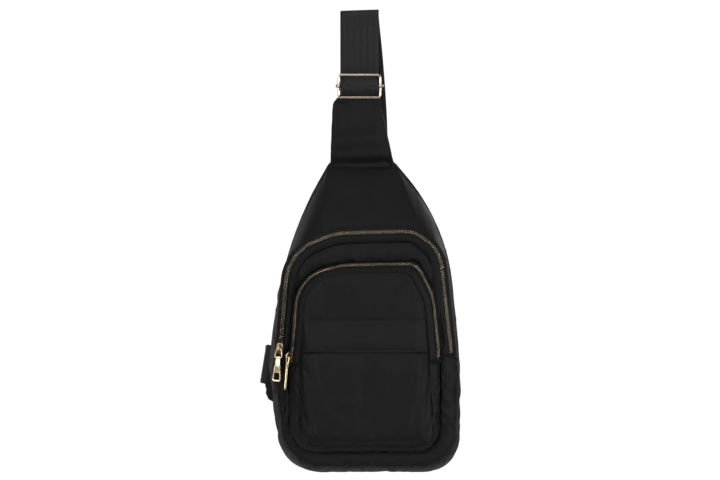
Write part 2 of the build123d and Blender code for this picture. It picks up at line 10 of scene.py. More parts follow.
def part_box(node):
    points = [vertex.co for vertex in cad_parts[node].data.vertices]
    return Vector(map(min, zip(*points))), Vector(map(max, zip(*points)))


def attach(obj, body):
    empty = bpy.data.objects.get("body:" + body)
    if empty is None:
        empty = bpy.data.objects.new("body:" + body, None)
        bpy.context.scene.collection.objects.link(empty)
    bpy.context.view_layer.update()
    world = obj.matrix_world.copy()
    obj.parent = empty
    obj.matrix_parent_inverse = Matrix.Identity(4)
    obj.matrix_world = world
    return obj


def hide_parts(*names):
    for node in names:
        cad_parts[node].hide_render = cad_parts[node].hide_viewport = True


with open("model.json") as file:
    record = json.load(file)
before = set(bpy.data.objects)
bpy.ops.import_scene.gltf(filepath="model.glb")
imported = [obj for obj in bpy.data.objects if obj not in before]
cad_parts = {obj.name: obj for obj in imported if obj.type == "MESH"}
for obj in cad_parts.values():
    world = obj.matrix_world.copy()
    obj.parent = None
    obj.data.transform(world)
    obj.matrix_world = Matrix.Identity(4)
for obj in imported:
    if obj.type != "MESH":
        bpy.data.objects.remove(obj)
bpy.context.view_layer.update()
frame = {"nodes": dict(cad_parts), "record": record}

joints = {joint["name"]: joint for joint in frame["record"]["behaviour"]["joints"]}
MM = 0.001

# The outlines are in millimetres from the middle of the back panel and the strap's top edge; two
# CAD nodes tell where those are in the frame.
BAR_X = -5.5
NECK_Z = -151.0
bar_low, bar_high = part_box("adjuster_bar")
pad_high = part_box("back_panel")[1]
SHIFT_X = (bar_low.x + bar_high.x) / 2 / MM - BAR_X
SHIFT_Z = pad_high.z / MM - NECK_Z


def place(points):
    """Millimetre points in the drawing's datum as metres in the frame."""
    points = np.asarray(points, float)
    return (points + np.array([SHIFT_X, 0.0, SHIFT_Z])) * MM


def unit(vectors):
    """Vectors at length one."""
    return vectors / np.linalg.norm(vectors, axis=-1, keepdims=True)


def square_to(vectors, runs):
    """The unit part of vectors at right angles to unit runs."""
    return unit(vectors - runs * np.sum(vectors * runs, axis=-1, keepdims=True))


def travelled(points, axis=0):
    """Distance of each point along its line from the line's first point."""
    steps = np.linalg.norm(np.diff(points, axis=axis), axis=-1)
    return np.insert(np.cumsum(steps, axis=axis), 0, 0.0, axis=axis)


# ---- materials
def new_material(name, colour, roughness, **inputs):
    """A Principled material and its node tree and shader; an input's spaces are written as _."""
    material = bpy.data.materials.new(name)
    material.use_nodes = True
    tree = material.node_tree
    shader = tree.nodes["Principled BSDF"]
    for key, value in {"Base_Color": (*colour, 1), "Roughness": roughness, **inputs}.items():
        shader.inputs[key.replace("_", " ")].default_value = value
    return material, tree, shader


def node(tree, kind, **values):
    """Add a node and set its properties or its named inputs."""
    made = tree.nodes.new(kind)
    for key, value in values.items():
        if key in made.inputs:
            made.inputs[key].default_value = value
        else:
            setattr(made, key, value)
    return made


def coordinates(tree, kind):
    return node(tree, "ShaderNodeTexCoord").outputs[kind]


def noise_value(tree, scale, detail=3.0):
    texture = node(tree, "ShaderNodeTexNoise", Scale=scale, Detail=detail)
    tree.links.new(coordinates(tree, "Object"), texture.inputs["Vector"])
    return texture.outputs["Fac"]


def ranged(tree, value, low, high):
    """Map 0..1 to low..high."""
    mapper = node(tree, "ShaderNodeMapRange")
    mapper.inputs["To Min"].default_value = low
    mapper.inputs["To Max"].default_value = high
    tree.links.new(value, mapper.inputs["Value"])
    return mapper.outputs["Result"]


def two_tone(tree, shader, value, dark, light):
    """Base colour from dark to light as the value goes up."""
    ramp = node(tree, "ShaderNodeValToRGB")
    for stop, position, colour in zip(ramp.color_ramp.elements, (0.3, 0.7), (dark, light)):
        stop.color = (*colour, 1)
        stop.position = position
    tree.links.new(value, ramp.inputs["Fac"])
    tree.links.new(ramp.outputs["Color"], shader.inputs["Base Color"])


def glossed(tree, shader, value, low, high):
    """Roughness from low to high as the value goes up."""
    tree.links.new(ranged(tree, value, low, high), shader.inputs["Roughness"])


def maths(tree, operation, first, second):
    made = node(tree, "ShaderNodeMath", operation=operation)
    for slot, value in enumerate((first, second)):
        if isinstance(value, float):
            made.inputs[slot].default_value = value
        else:
            tree.links.new(value, made.inputs[slot])
    return made.outputs[0]


def wave(tree, coords, scale, direction):
    made = node(tree, "ShaderNodeTexWave", Scale=scale, bands_direction=direction)
    tree.links.new(coords, made.inputs["Vector"])
    return made.outputs["Fac"]


def bumps(tree, shader, layers):
    """Chain bump nodes: layers of (height, distance, strength)."""
    normal = None
    for height, distance, strength in layers:
        bump = node(tree, "ShaderNodeBump", Distance=distance, Strength=strength)
        tree.links.new(height, bump.inputs["Height"])
        if normal:
            tree.links.new(normal, bump.inputs["Normal"])
        normal = bump.outputs["Normal"]
    tree.links.new(normal, shader.inputs["Normal"])


WAVE_PERIOD = 20              # a wave texture of scale s repeats every tau / 20 / s
HERRINGBONE = 0.0032          # width of a column of the webbing's ribs, in metres


def woven(name, dark, light, roughness, pitch, sheen, crease):
    """Fine plain weave from the UV map, in metres, with soft colour and gloss variation."""
    material, tree, shader = new_material(name, dark, roughness, Sheen_Weight=sheen, Sheen_Roughness=0.35,
                                          Specular_IOR_Level=0.17)
    uv = coordinates(tree, "UV")
    period = math.tau / WAVE_PERIOD / pitch
    weave = maths(tree, "MAXIMUM", wave(tree, uv, period, "X"), wave(tree, uv, period, "Y"))
    cloud = noise_value(tree, 55.0)
    grain = noise_value(tree, 900.0, 2.0)
    two_tone(tree, shader, maths(tree, "ADD", maths(tree, "MULTIPLY", cloud, 0.6),
                                 maths(tree, "MULTIPLY", grain, 0.4)), dark, light)
    glossed(tree, shader, cloud, roughness - 0.07, roughness + 0.09)
    bumps(tree, shader, [(noise_value(tree, 120.0, 4.0), 0.0012, crease), (weave, 0.00012, 0.55),
                         (grain, 0.0001, 0.3)])
    return material


def ribbed(name, dark, light, pitch, roughness):
    """Webbing: cross ribs in a herringbone of narrow columns; half its colour is painted shade, darker in
    the grooves between the ribs.
    """
    material, tree, shader = new_material(name, dark, roughness, Sheen_Weight=0.1, Sheen_Roughness=0.3,
                                          Specular_IOR_Level=0.35)
    split = node(tree, "ShaderNodeSeparateXYZ")
    tree.links.new(coordinates(tree, "UV"), split.inputs[0])
    zigzag = maths(tree, "PINGPONG", split.outputs["X"], HERRINGBONE)
    slanted = maths(tree, "ADD", split.outputs["Y"], maths(tree, "MULTIPLY", zigzag, 0.9))
    rib_height_and_shade = maths(tree, "SINE", maths(tree, "MULTIPLY", slanted, math.tau / pitch), 0.0)
    rib_height_and_shade = ranged(tree, maths(tree, "MULTIPLY", maths(tree, "ADD", rib_height_and_shade, 1.0), 0.5), 0.0, 1.0)
    cloud = noise_value(tree, 70.0)
    # Painted shade mixed with a random tone: the colour is darker in the ribs' grooves and lighter on their
    # crests.
    two_tone(tree, shader, maths(tree, "MULTIPLY", maths(tree, "ADD", rib_height_and_shade, cloud), 0.5), dark, light)
    glossed(tree, shader, cloud, roughness - 0.06, roughness + 0.1)
    bumps(tree, shader, [(rib_height_and_shade, 0.00035, 0.8), (noise_value(tree, 1400.0, 2.0), 0.0001, 0.3)])
    return material


def air_mesh(name, dark, light):
    """Spacer mesh of the padded back: a grid of small round holes, coloured darker inside them as painted
    shade.
    """
    material, tree, shader = new_material(name, dark, 0.85, Sheen_Weight=0.15)
    flat = node(tree, "ShaderNodeMapping", Scale=(1.0, 0.0, 1.0))
    tree.links.new(coordinates(tree, "Object"), flat.inputs["Vector"])
    cells = node(tree, "ShaderNodeTexVoronoi", Scale=420.0, Randomness=0.25)
    tree.links.new(flat.outputs["Vector"], cells.inputs["Vector"])
    holes = ranged(tree, cells.outputs["Distance"], 0.0, 1.6)
    # Painted shade: the colour darkens towards the middle of each hole, where the bump sinks in.
    two_tone(tree, shader, holes, dark, light)
    bumps(tree, shader, [(holes, 0.0006, 0.9), (noise_value(tree, 1500.0, 2.0), 0.0001, 0.3)])
    return material


def polished(name, colour, worn, roughness, scratch):
    """Plated metal: fine scratches, and darker, rougher tarnish in patches."""
    material, tree, shader = new_material(name, colour, roughness, Metallic=1.0)
    two_tone(tree, shader, noise_value(tree, 380.0, 5.0), worn, colour)
    glossed(tree, shader, noise_value(tree, 900.0), roughness - 0.06, roughness + 0.12)
    bumps(tree, shader, [(noise_value(tree, 2600.0, 2.0), 0.00006, scratch)])
    return material


NYLON = woven("nylon", (0.0036, 0.0036, 0.0041), (0.0058, 0.0058, 0.0065), 0.5, 0.00042, 0.03, 0.35)
PANEL = woven("nylon_panel", (0.0026, 0.0026, 0.0030), (0.0044, 0.0044, 0.0050), 0.44, 0.00042, 0.03, 0.30)
TAPE = woven("zip_tape", (0.0028, 0.0028, 0.0031), (0.0046, 0.0046, 0.0050), 0.58, 0.0007, 0.03, 0.2)
LINING = woven("lining", (0.012, 0.012, 0.013), (0.02, 0.02, 0.022), 0.6, 0.0004, 0.05, 0.3)
# The webbing's colour is partly painted shade in the grooves between its ribs.
WEBBING = ribbed("webbing", (0.0062, 0.0062, 0.0066), (0.0135, 0.0135, 0.0142), 0.0012, 0.5)
# The back mesh's darker colour is painted shade inside its holes.
MESH = air_mesh("back_mesh", (0.004, 0.004, 0.0044), (0.012, 0.012, 0.013))
THREAD = woven("thread", (0.006, 0.006, 0.0063), (0.010, 0.010, 0.0105), 0.5, 0.0003, 0.1, 0.2)
TEETH = polished("teeth_brass", (0.78, 0.66, 0.47), (0.16, 0.12, 0.075), 0.2, 0.25)
GOLD = polished("pull_gold", (0.86, 0.68, 0.44), (0.62, 0.47, 0.28), 0.2, 0.15)
# The slider body is a darkened copy of the pull's gold: painted shade standing in for the dark reflection on
# its front.
SLIDER_SHADED_GOLD = polished("slider_gold_painted_dark", (0.20, 0.14, 0.085), (0.07, 0.05, 0.032), 0.3, 0.2)
ROSE = polished("adjuster_rose_gold", (0.83, 0.68, 0.56), (0.62, 0.49, 0.39), 0.2, 0.15)


# ---- mesh helpers
def make_object(name, verts, faces, material, uvs=None, smooth=True):
    mesh = bpy.data.meshes.new(name)
    mesh.from_pydata([tuple(v) for v in verts], [], faces)
    if uvs is not None:
        layer = mesh.uv_layers.new(name="UVMap")
        flat = np.asarray(uvs, np.float32)[[loop.vertex_index for loop in mesh.loops]]
        layer.data.foreach_set("uv", flat.ravel())
    mesh.materials.append(material)
    if smooth:
        mesh.shade_smooth()
    made = bpy.data.objects.new(name, mesh)
    bpy.context.collection.objects.link(made)
    return made


def grid_faces(rows, cols, closed, start=0):
    """Quads of a grid stored row by row; closed joins the last column to the first."""
    faces = []
    for r in range(rows - 1):
        for c in range(cols if closed else cols - 1):
            d = (c + 1) % cols
            faces.append((start + r * cols + c, start + (r + 1) * cols + c,
                          start + (r + 1) * cols + d, start + r * cols + d))
    return faces


def end_faces(rows, cols, start=0):
    """The two faces that close a tube of loops."""
    last = start + (rows - 1) * cols
    return [list(range(start, start + cols)), list(range(last, last + cols))]


def grid_uvs(grid):
    """UVs in metres: along the middle row, and along each column."""
    rows = len(grid)
    along = np.tile(travelled(grid[rows // 2]), (rows, 1))
    return np.stack([along, travelled(grid)], axis=2).reshape(-1, 2) * MM


def grid_normals(grid, closed):
    """Unit normals of a grid of points, pointing the way its faces do."""
    du = np.roll(grid, -1, axis=1) - np.roll(grid, 1, axis=1) if closed else np.gradient(grid, axis=1)
    normals = np.cross(np.gradient(grid, axis=0), du)
    return normals / np.maximum(np.linalg.norm(normals, axis=2, keepdims=True), 1e-12)


def points_of(mesh):
    points = np.empty(len(mesh.vertices) * 3)
    mesh.vertices.foreach_get("co", points)
    return points.reshape(-1, 3)


def apply_modifiers(obj):
    graph = bpy.context.evaluated_depsgraph_get()
    mesh = bpy.data.meshes.new_from_object(obj.evaluated_get(graph))
    obj.modifiers.clear()
    old = obj.data
    obj.data = mesh
    bpy.data.meshes.remove(old)


# ---- outlines
# Corner order: neck left, neck right, shoulder right, hip right, bottom right, bottom left, hip left,
# shoulder left.
OUTLINE = [(-36, -151), (30, -151), (82.7, -214), (96, -350), (92, -461), (-82, -461),
           (-97.6, -345), (-77, -223)]
OUTLINE_R = [6, 6, 200, 300, 30, 38, 200, 370]
MAIN_ZIP = [(-30, -223.5), (48, -221.5), (74, -240), (86.5, -352), (84, -450), (-74, -450),
            (-85, -352), (-76, -243)]
MAIN_ZIP_R = [70, 26, 36, 200, 30, 36, 60, 45]
POCKET_BASE = [(-18, -252.5), (54, -251), (70, -284), (75.5, -335), (74, -440), (-75, -440),
               (-76, -356), (-68, -262.5)]
POCKET_BASE_R = [70, 16, 50, 60, 26, 28, 100, 42]
POCKET_FACE = [(-22, -262), (44, -261.5), (59.5, -290), (63.5, -335), (70.5, -436), (-66.5, -437),
               (-66, -356), (-59, -271.5)]
POCKET_FACE_R = [60, 11, 50, 60, 15, 17, 100, 34]
ARC_STEPS = [14, 14, 38, 20, 18, 18, 20, 38]      # quads round each corner, and along the run after it
RUN_STEPS = [26, 8, 30, 30, 42, 30, 30, 10]
MAIN_ZIP_END_Z = -346.0
POCKET_ZIP_END_Z = -353.0
SEAM_Y = 16.0
PAD_Y = 21.0
ZIP_OUTER_Y = -22.0
ZIP_INNER_Y = -25.0
ZIP_OUTER_REACH = 5.5
ZIP_INNER_REACH = -5.5
ZIP_SLOPE = (ZIP_OUTER_Y - ZIP_INNER_Y) / (ZIP_OUTER_REACH - ZIP_INNER_REACH)
POCKET_BASE_Y = -25.0
POCKET_FACE_Y = -37.0
POCKET_ROW = 0.3


def corner_arc(before, corner, after, radius):
    """The centre of a corner's tangent arc, the spokes to its start and end, and half the corner."""
    into, away = unit(before - corner), unit(after - corner)
    half = math.acos(np.clip(np.dot(into, away), -1, 1)) / 2
    centre = corner + unit(into + away) * radius / math.sin(half)
    tangent = radius / math.tan(half)
    return centre, corner + into * tangent - centre, corner + away * tangent - centre, half


def box_corners(left, right, low, high):
    return [(left, high), (right, high), (right, low), (left, low)]


def level(points, z):
    """Points (x, y) as (x, y, z)."""
    return np.column_stack([points, np.full(len(points), z)])


def outline_points(corners, radii, arc_steps=ARC_STEPS, run_steps=RUN_STEPS):
    """Points and outward normals round a filleted outline given clockwise; outlines with the same
    steps have corresponding points."""
    corners = np.array(corners, float)
    arcs = []
    for before, corner, after, radius, steps in zip(np.roll(corners, 1, axis=0), corners,
                                                    np.roll(corners, -1, axis=0), radii, arc_steps):
        centre, start, _, half = corner_arc(before, corner, after, radius)
        turn = math.pi - 2 * half
        angles = math.atan2(start[1], start[0]) - turn * np.linspace(0, 1, steps + 1)
        normals = np.stack([np.cos(angles), np.sin(angles)], axis=1)
        arcs.append((centre + normals * radius, normals))
    lines = [], []
    for here, following, steps in zip(arcs, arcs[1:] + arcs[:1], run_steps):
        share = np.linspace(0, 1, steps + 1)[1:-1, None]
        for line, arc, next_arc in zip(lines, here, following):
            line += [arc, arc[-1] + (next_arc[0] - arc[-1]) * share]
    return np.concatenate(lines[0]), np.concatenate(lines[1])


def arch_and_rest(loop, end_z):
    """Indices along a loop's arch above a height, from the left arm to the right, and of the rest."""
    high = loop[:, 1] > end_z
    right = int(np.argmin(high))
    left = len(high) - int(np.argmin(high[::-1]))
    return np.arange(left - 1, right + len(high)) % len(high), np.arange(right - 1, left)


outline, outline_normals = outline_points(OUTLINE, OUTLINE_R)
main_zip, main_normals = outline_points(MAIN_ZIP, MAIN_ZIP_R)
pocket_base, base_normals = outline_points(POCKET_BASE, POCKET_BASE_R)
pocket_face, face_normals = outline_points(POCKET_FACE, POCKET_FACE_R)
COUNT = len(outline)
MAIN_ARCH, MAIN_REST = arch_and_rest(main_zip, MAIN_ZIP_END_Z)
POCKET_ARCH, POCKET_REST = arch_and_rest(pocket_base, POCKET_ZIP_END_Z)


def upright(points, y):
    """Points (x, z) as (x, y, z), with y a number or one value a point."""
    return np.stack([points[:, 0], np.broadcast_to(y, len(points)), points[:, 1]], axis=1)


def outline_ring(y, grow=0.0):
    return upright(outline + outline_normals * grow, y)


def main_ring(reach, lift=0.0):
    """The main zip's loop this far outside its centre (a number or one a point), lifted forward."""
    reach = np.broadcast_to(reach, COUNT)
    y = ZIP_OUTER_Y - ZIP_SLOPE * (ZIP_OUTER_REACH - reach) - lift
    return upright(main_zip + main_normals * reach[:, None], y)


def pocket_ring(share, lift=0.0):
    """The pocket's loop at this share of its slanted gusset, lifted out along the slant's normal."""
    flat = pocket_base + (pocket_face - pocket_base) * share
    normals = base_normals + (face_normals - base_normals) * share
    out = lift * math.sqrt(0.5)
    return upright(flat + normals * out, POCKET_BASE_Y + (POCKET_FACE_Y - POCKET_BASE_Y) * share - out)


# ---- cloth panels
SEAM_SOFT = 1.5               # how quickly a panel rises from its seam, in millimetres
STITCH_DIP = 0.6
STITCH_WIDE = 0.8             # half width of the dip along a stitch line
CREASE_FADE = 8.0             # creases reach their full height this far from a seam
FREE_FROM = 1.0               # the cloth is held up to this far from a seam
ALL_SIDES = ("first", "last", "left", "right")
BAG_MIDDLE = (0.0, -5.0, -330.0)
cloth_jobs = []
panels = []


def own(obj, body, nodes=()):
    """Say what a piece rides on and which nodes it stands for."""
    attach(obj, body)
    if nodes:
        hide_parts(*nodes)
    return obj


def between(first, last, step, edges=(0.0, 0.6, 1.4, 2.3, 3.1, 4.0)):
    """A grid of rows from one line of points to another: rows at fixed distances in millimetres from
    both borders, and even ones between."""
    width = np.linalg.norm(last - first, axis=1)
    edge = np.array(edges)[:, None] * np.minimum(1.0, 0.42 * width / edges[-1])
    count = max(int(round((width.mean() - 2 * edges[-1]) / step)), 1)
    share = np.linspace(0, 1, count + 1)[1:-1, None]
    middle = edge[-1] + (width - 2 * edge[-1]) * share
    rows = np.concatenate([edge, middle, width - edge[::-1]])
    return first[None] + (last - first)[None] * (rows / width)[..., None]


def border_distance(grid, closed, sides):
    """Distance in millimetres of each grid point from the panel's sewn borders."""
    across, along = travelled(grid), travelled(grid, 1)
    distances = {"first": across, "last": across[-1] - across}
    if not closed:
        distances |= {"left": along, "right": along[:, -1:] - along}
    return np.min([distances[side] for side in sides if side in distances], axis=0)


def hump(distance, width):
    """1 at a distance of 0, fading smoothly over the width."""
    return np.exp(-(distance / width) ** 2)


def ramp(value, width):
    """0 up to a value of 0, then straight up to 1 over the width."""
    return np.clip(value / width, 0, 1)


def panel(name, grid, material, nodes, puff, reach, closed=False, seam=1.2, wrinkle=0.5,
          scale=26.0, cloth=None, sides=("first", "last"), thick=1.0, seed=0.0, inside=BAG_MIDDLE,
          stitched=(), cap=False, relief=0.0):
    """A sewn panel: it dips into its seams, is puffed by padding and creased, then relaxed as cloth.

    puff is the height of the padding and reach how far from a seam it takes to rise, in millimetres;
    cloth is (growth, pressure, cap in millimetres); stitched is the distances of its stitch lines
    from its borders; relief is one more height for each point."""
    if np.sum(grid_normals(grid, closed) * (grid - np.array(inside))) < 0:
        grid, relief = grid[:, ::-1], np.broadcast_to(relief, grid.shape[:2])[:, ::-1]
    distance = border_distance(grid, closed, sides)
    rise = puff * (1 - np.exp(-(distance / reach) ** 1.3)) - seam * np.exp(-(distance / SEAM_SOFT) ** 1.2)
    for line in stitched:
        rise -= STITCH_DIP * hump(distance - line, STITCH_WIDE)
    spots = grid.reshape(-1, 3) / (scale, scale, scale * 1.7) + (seed, 0, 0)
    creases = np.array([noise.fractal(Vector(spot), 1.0, 2.1, 3) for spot in spots]) * wrinkle
    creases = creases.reshape(distance.shape) * ramp(distance, CREASE_FADE)
    shaped = grid + grid_normals(grid, closed) * (rise + relief + creases)[..., None]
    rows, cols, _ = shaped.shape
    faces = grid_faces(rows, cols, closed)
    if cap:
        last, end = (rows - 1) * cols, rows * cols - 1
        faces += [(last + c, end - c, end - c - 1, last + c + 1) for c in range(cols // 2 - 1)]
    obj = make_object(name, place(shaped.reshape(-1, 3)), faces, material, grid_uvs(grid))
    if cloth:
        cloth_jobs.append((obj, np.flatnonzero(distance.ravel() <= FREE_FROM), cloth))
    obj["grid"] = (rows, cols)
    panels.append((obj, thick))
    return own(obj, "bag", nodes)


CLOTH_FRAMES = 22
CLOTH_SETTINGS = {"quality": 5, "mass": 0.12, "tension_stiffness": 12, "compression_stiffness": 12,
                  "shear_stiffness": 4, "bending_stiffness": 0.25, "air_damping": 3,
                  "vertex_group_mass": "sewn", "use_pressure": True}
CLOTH_GRAVITY = 0.25


def relax_panels():
    """Run every panel's cloth at once, then keep each result within its cap and drop the modifier."""
    scene = bpy.context.scene
    for obj, held, (growth, pressure, _) in cloth_jobs:
        obj.vertex_groups.new(name="sewn").add(held.tolist(), 1.0, "REPLACE")
        cloth = obj.modifiers.new("cloth", "CLOTH")
        for key, value in CLOTH_SETTINGS.items():
            setattr(cloth.settings, key, value)
        cloth.settings.shrink_min = -growth
        cloth.settings.uniform_pressure_force = pressure
        cloth.settings.effector_weights.gravity = CLOTH_GRAVITY
        cloth.point_cache.frame_start = 1
        cloth.point_cache.frame_end = CLOTH_FRAMES
    for frame_number in range(1, CLOTH_FRAMES + 1):
        scene.frame_set(frame_number)
    graph = bpy.context.evaluated_depsgraph_get()
    results = [points_of(obj.evaluated_get(graph).to_mesh()) for obj, _, _ in cloth_jobs]
    for (obj, _, (_, _, cap)), moved in zip(cloth_jobs, results):
        base = points_of(obj.data)
        step = moved - base
        length = np.linalg.norm(step, axis=1, keepdims=True)
        capped = cap * MM * np.tanh(length / (cap * MM))
        obj.modifiers.clear()
        obj.vertex_groups.clear()
        obj.data.vertices.foreach_set("co", (base + step / np.maximum(length, 1e-9) * capped).ravel())
        obj.data.update()
    scene.frame_set(1)


def give_thickness():
    """Give every relaxed panel one smooth subdivision and its fabric thickness."""
    for obj, thick in panels:
        smooth = obj.modifiers.new("subdivision", "SUBSURF")
        smooth.levels = smooth.render_levels = 1
        smooth.use_limit_surface = False
        shell = obj.modifiers.new("thickness", "SOLIDIFY")
        shell.thickness = thick * MM
        shell.offset = -1
        apply_modifiers(obj)


# ---- the bag's panels
YOKE_REACH = 4.6              # the yoke's folded edge beside the main zip
band_gap = np.linalg.norm(main_zip - pocket_base, axis=1)
BAND_REACH = -np.clip(0.6 * band_gap, 5.5, 9.6)       # inner edge of the band inside the main zip
CLOTH = (0.015, 1.6, 2.4)     # growth, pressure and cap of the outer panels
SMALL_CLOTH = (0.02, 1.2, 1.6)
STITCH_AT = 3.1
TAPE_GAP = 0.75               # from the main zip's centre to its tapes, in millimetres
POCKET_TAPE_GAP = 0.04        # the same for the pocket's, as a share of its gusset
SLIDER_RUN = (-372, -264)     # heights between which the pocket's slider needs room
SLIDER_SIDE_X = -62


def slider_room(grid, depth):
    """Less height on the left arm, where the pocket's slider runs."""
    x, z = grid[..., 0], grid[..., 2]
    return -depth * ramp(z - SLIDER_RUN[0], 8) * ramp(SLIDER_RUN[1] - z, 8) * ramp(SLIDER_SIDE_X - x, 4)


def panels_of_shell():
    rear = outline_ring(SEAM_Y)
    arch_edge = main_ring(YOKE_REACH, 2.3)
    low_edge = main_ring(ZIP_OUTER_REACH, 0.6)
    yoke = panel("front_yoke_fabric", between(rear[MAIN_ARCH], arch_edge[MAIN_ARCH], 3.0), NYLON,
                 ["front_yoke"], 2.2, 9.0, wrinkle=1.0, scale=34.0, cloth=CLOTH,
                 sides=ALL_SIDES, stitched=(STITCH_AT,), seed=3.0)
    panel("lower_gusset_fabric", between(rear[MAIN_REST], low_edge[MAIN_REST], 3.0), NYLON,
          ["lower_gusset"], 2.4, 9.0, wrinkle=1.1, scale=30.0, cloth=CLOTH, sides=ALL_SIDES,
          seed=11.0)
    reach = BAND_REACH.copy()
    reach[MAIN_REST[1:-1]] = ZIP_OUTER_REACH
    soft = np.array([np.roll(reach, k) for k in range(-2, 3)]).mean(axis=0)
    grid = between(main_ring(soft, 0.4), upright(pocket_base, POCKET_BASE_Y - 0.4), 3.0)
    front = panel("main_front_fabric", grid, NYLON, ["main_front_panel"], 1.8, 6.0, closed=True,
                  seam=2.2, wrinkle=1.0, scale=22.0, cloth=SMALL_CLOTH, stitched=(STITCH_AT,), seed=19.0,
                  relief=slider_room(grid, 3.0))
    return yoke, front


def zip_bands():
    """The tapes: a narrow flat strip outside each row of teeth, and a puffed band inside."""
    main_rings = (main_ring(ZIP_OUTER_REACH, 0.9), main_ring(TAPE_GAP, 1.0), main_ring(-TAPE_GAP, 1.0),
                  main_ring(BAND_REACH, 0.7))
    pocket_rings = (pocket_ring(0.0, 0.3), pocket_ring(POCKET_ROW - POCKET_TAPE_GAP),
                    pocket_ring(POCKET_ROW + POCKET_TAPE_GAP), pocket_ring(1.0))
    bands = []
    for zip_name, arch, rings, step, reach, room, seed in (
            ("main", MAIN_ARCH, main_rings, 1.2, 2.6, 2.0, 5.0),
            ("pocket", POCKET_ARCH, pocket_rings, 1.4, 3.4, 0.0, 7.0)):
        far, near, inside, edge = (ring[arch] for ring in rings)
        panel(f"{zip_name}_zip_tape_outer", between(far, near, 1.5, (0.0, 0.5, 1.0)), TAPE,
              [f"{zip_name}_zip_outer_tape"], 0.0, 1.0, seam=0.0, wrinkle=0.05, thick=0.8)
        grid = between(inside, edge, step, (0.0, 0.8, 1.7))
        bands.append(panel(f"{zip_name}_zip_tape_inner", grid, TAPE, [f"{zip_name}_zip_inner_tape"],
                           2.1, reach, seam=0.3, wrinkle=0.5, scale=9.0, thick=0.8, seed=seed,
                           sides=ALL_SIDES, relief=slider_room(grid, room)))
    return bands


RING_END = 0.04               # the last ring's share of the border's size


def rings_inward(border, centre, step):
    """A grid of rings from a border loop towards a centre point."""
    size = np.linalg.norm(border - centre, axis=1).mean()
    edges = np.array([0.0, 0.6, 1.4, 2.3, STITCH_AT, 4.0, 5.5])
    inner = np.linspace(edges[-1], size * (1 - RING_END), int(size / step))[1:]
    shares = 1 - np.concatenate([edges, inner]) / size
    return centre + (border - centre)[None] * shares[:, None, None]


def panels_of_pocket():
    panel("pocket_gusset_fabric",
          between(pocket_ring(0.0, 0.2)[POCKET_REST], pocket_ring(1.0)[POCKET_REST], 2.4), NYLON,
          ["pocket_gusset"], 1.6, 5.0, wrinkle=0.7, scale=20.0, cloth=SMALL_CLOTH,
          sides=ALL_SIDES, seed=23.0)
    face = upright(pocket_face, POCKET_FACE_Y)
    return panel("pocket_front_fabric", rings_inward(face, np.array([-1.0, POCKET_FACE_Y, -347.0]), 3.0),
                 PANEL, ["pocket_front_panel"], 1.8, 7.0, closed=True, seam=1.8, wrinkle=0.7,
                 scale=30.0, cloth=(0.02, 0.8, 2.0), sides=("first",), stitched=(STITCH_AT,), cap=True,
                 seed=29.0)


# The slip pocket: its mouth is a hemmed band, and its panel bulges below.
SLIP_TOP = -309.0
SLIP_BAND_Z = -341.0
SLIP_LOW = -433.0
SLIP_INSET = 1.0              # its side edges lie this far inside the pocket's front seam
SLIP_MOUTH = 2.2              # how far forward of the pocket's face the mouth is, and the panel below it
SLIP_DEPTH = 6.6
SLIP_RAMP = 15.0              # how far from its edges it takes to rise


def face_edge(z, side):
    """Where the pocket's front seam is at a height, on the left or the right."""
    arm = pocket_face[pocket_face[:, 0] * side > 30]
    arm = arm[np.argsort(arm[:, 1])]
    return np.interp(z, arm[:, 1], arm[:, 0]) - side * SLIP_INSET


def slip_grid(top, bottom, mouth_depth):
    """The slip pocket's front between two heights, rising from the pocket's face at its edges."""
    levels = np.concatenate([top - np.array([0.0, 0.8, 1.8, 3.1, 4.4]),
                             np.linspace(top - 6.5, bottom + 4.0, int((top - bottom) / 2.8)),
                             bottom + np.array([3.1, 2.2, 1.2, 0.5, 0.0])])
    across = np.linspace(-1, 1, 57)
    across = np.sign(across) * (1 - (1 - np.abs(across)) ** 1.25)
    grid = np.zeros((len(levels), len(across), 3))
    for r, z in enumerate(levels):
        left, right = face_edge(z, -1), face_edge(z, 1)
        x = (left + right) / 2 + across * (right - left) / 2
        edge = np.minimum(np.minimum(x - left, right - x), (z - SLIP_LOW) * 1.3)
        rise = np.sin(ramp(edge, SLIP_RAMP) * math.pi / 2)
        open_share = ramp(SLIP_TOP - z, SLIP_TOP - SLIP_BAND_Z)
        depth = mouth_depth + (SLIP_DEPTH - mouth_depth) * open_share
        grid[r] = np.stack([x, POCKET_FACE_Y - 1.0 - depth * rise, np.full_like(x, z)], axis=1)
    return grid


def panels_of_slip_pocket():
    band = panel("slip_pocket_band_fabric", slip_grid(SLIP_TOP, SLIP_BAND_Z, SLIP_MOUTH), PANEL,
                 ["slip_pocket_band"], 0.9, 6.0, seam=1.0, wrinkle=0.5, scale=24.0,
                 cloth=(0.004, 0.2, 0.8), sides=("last", "left", "right"), stitched=(STITCH_AT,), seed=31.0)
    panel("slip_pocket_panel_fabric", slip_grid(SLIP_BAND_Z, SLIP_LOW, SLIP_DEPTH), PANEL,
          ["slip_pocket_panel"], 2.0, 14.0, seam=1.6, wrinkle=1.5, scale=30.0,
          cloth=(0.008, 1.2, 1.6), sides=ALL_SIDES, seed=37.0)
    return band


PAD_RIM = 20.0                # the channel round the pad lies this far from its border
CHANNELS_Z = (-255.0, -320.0, -385.0)
CHANNEL_DEPTH = 2.8


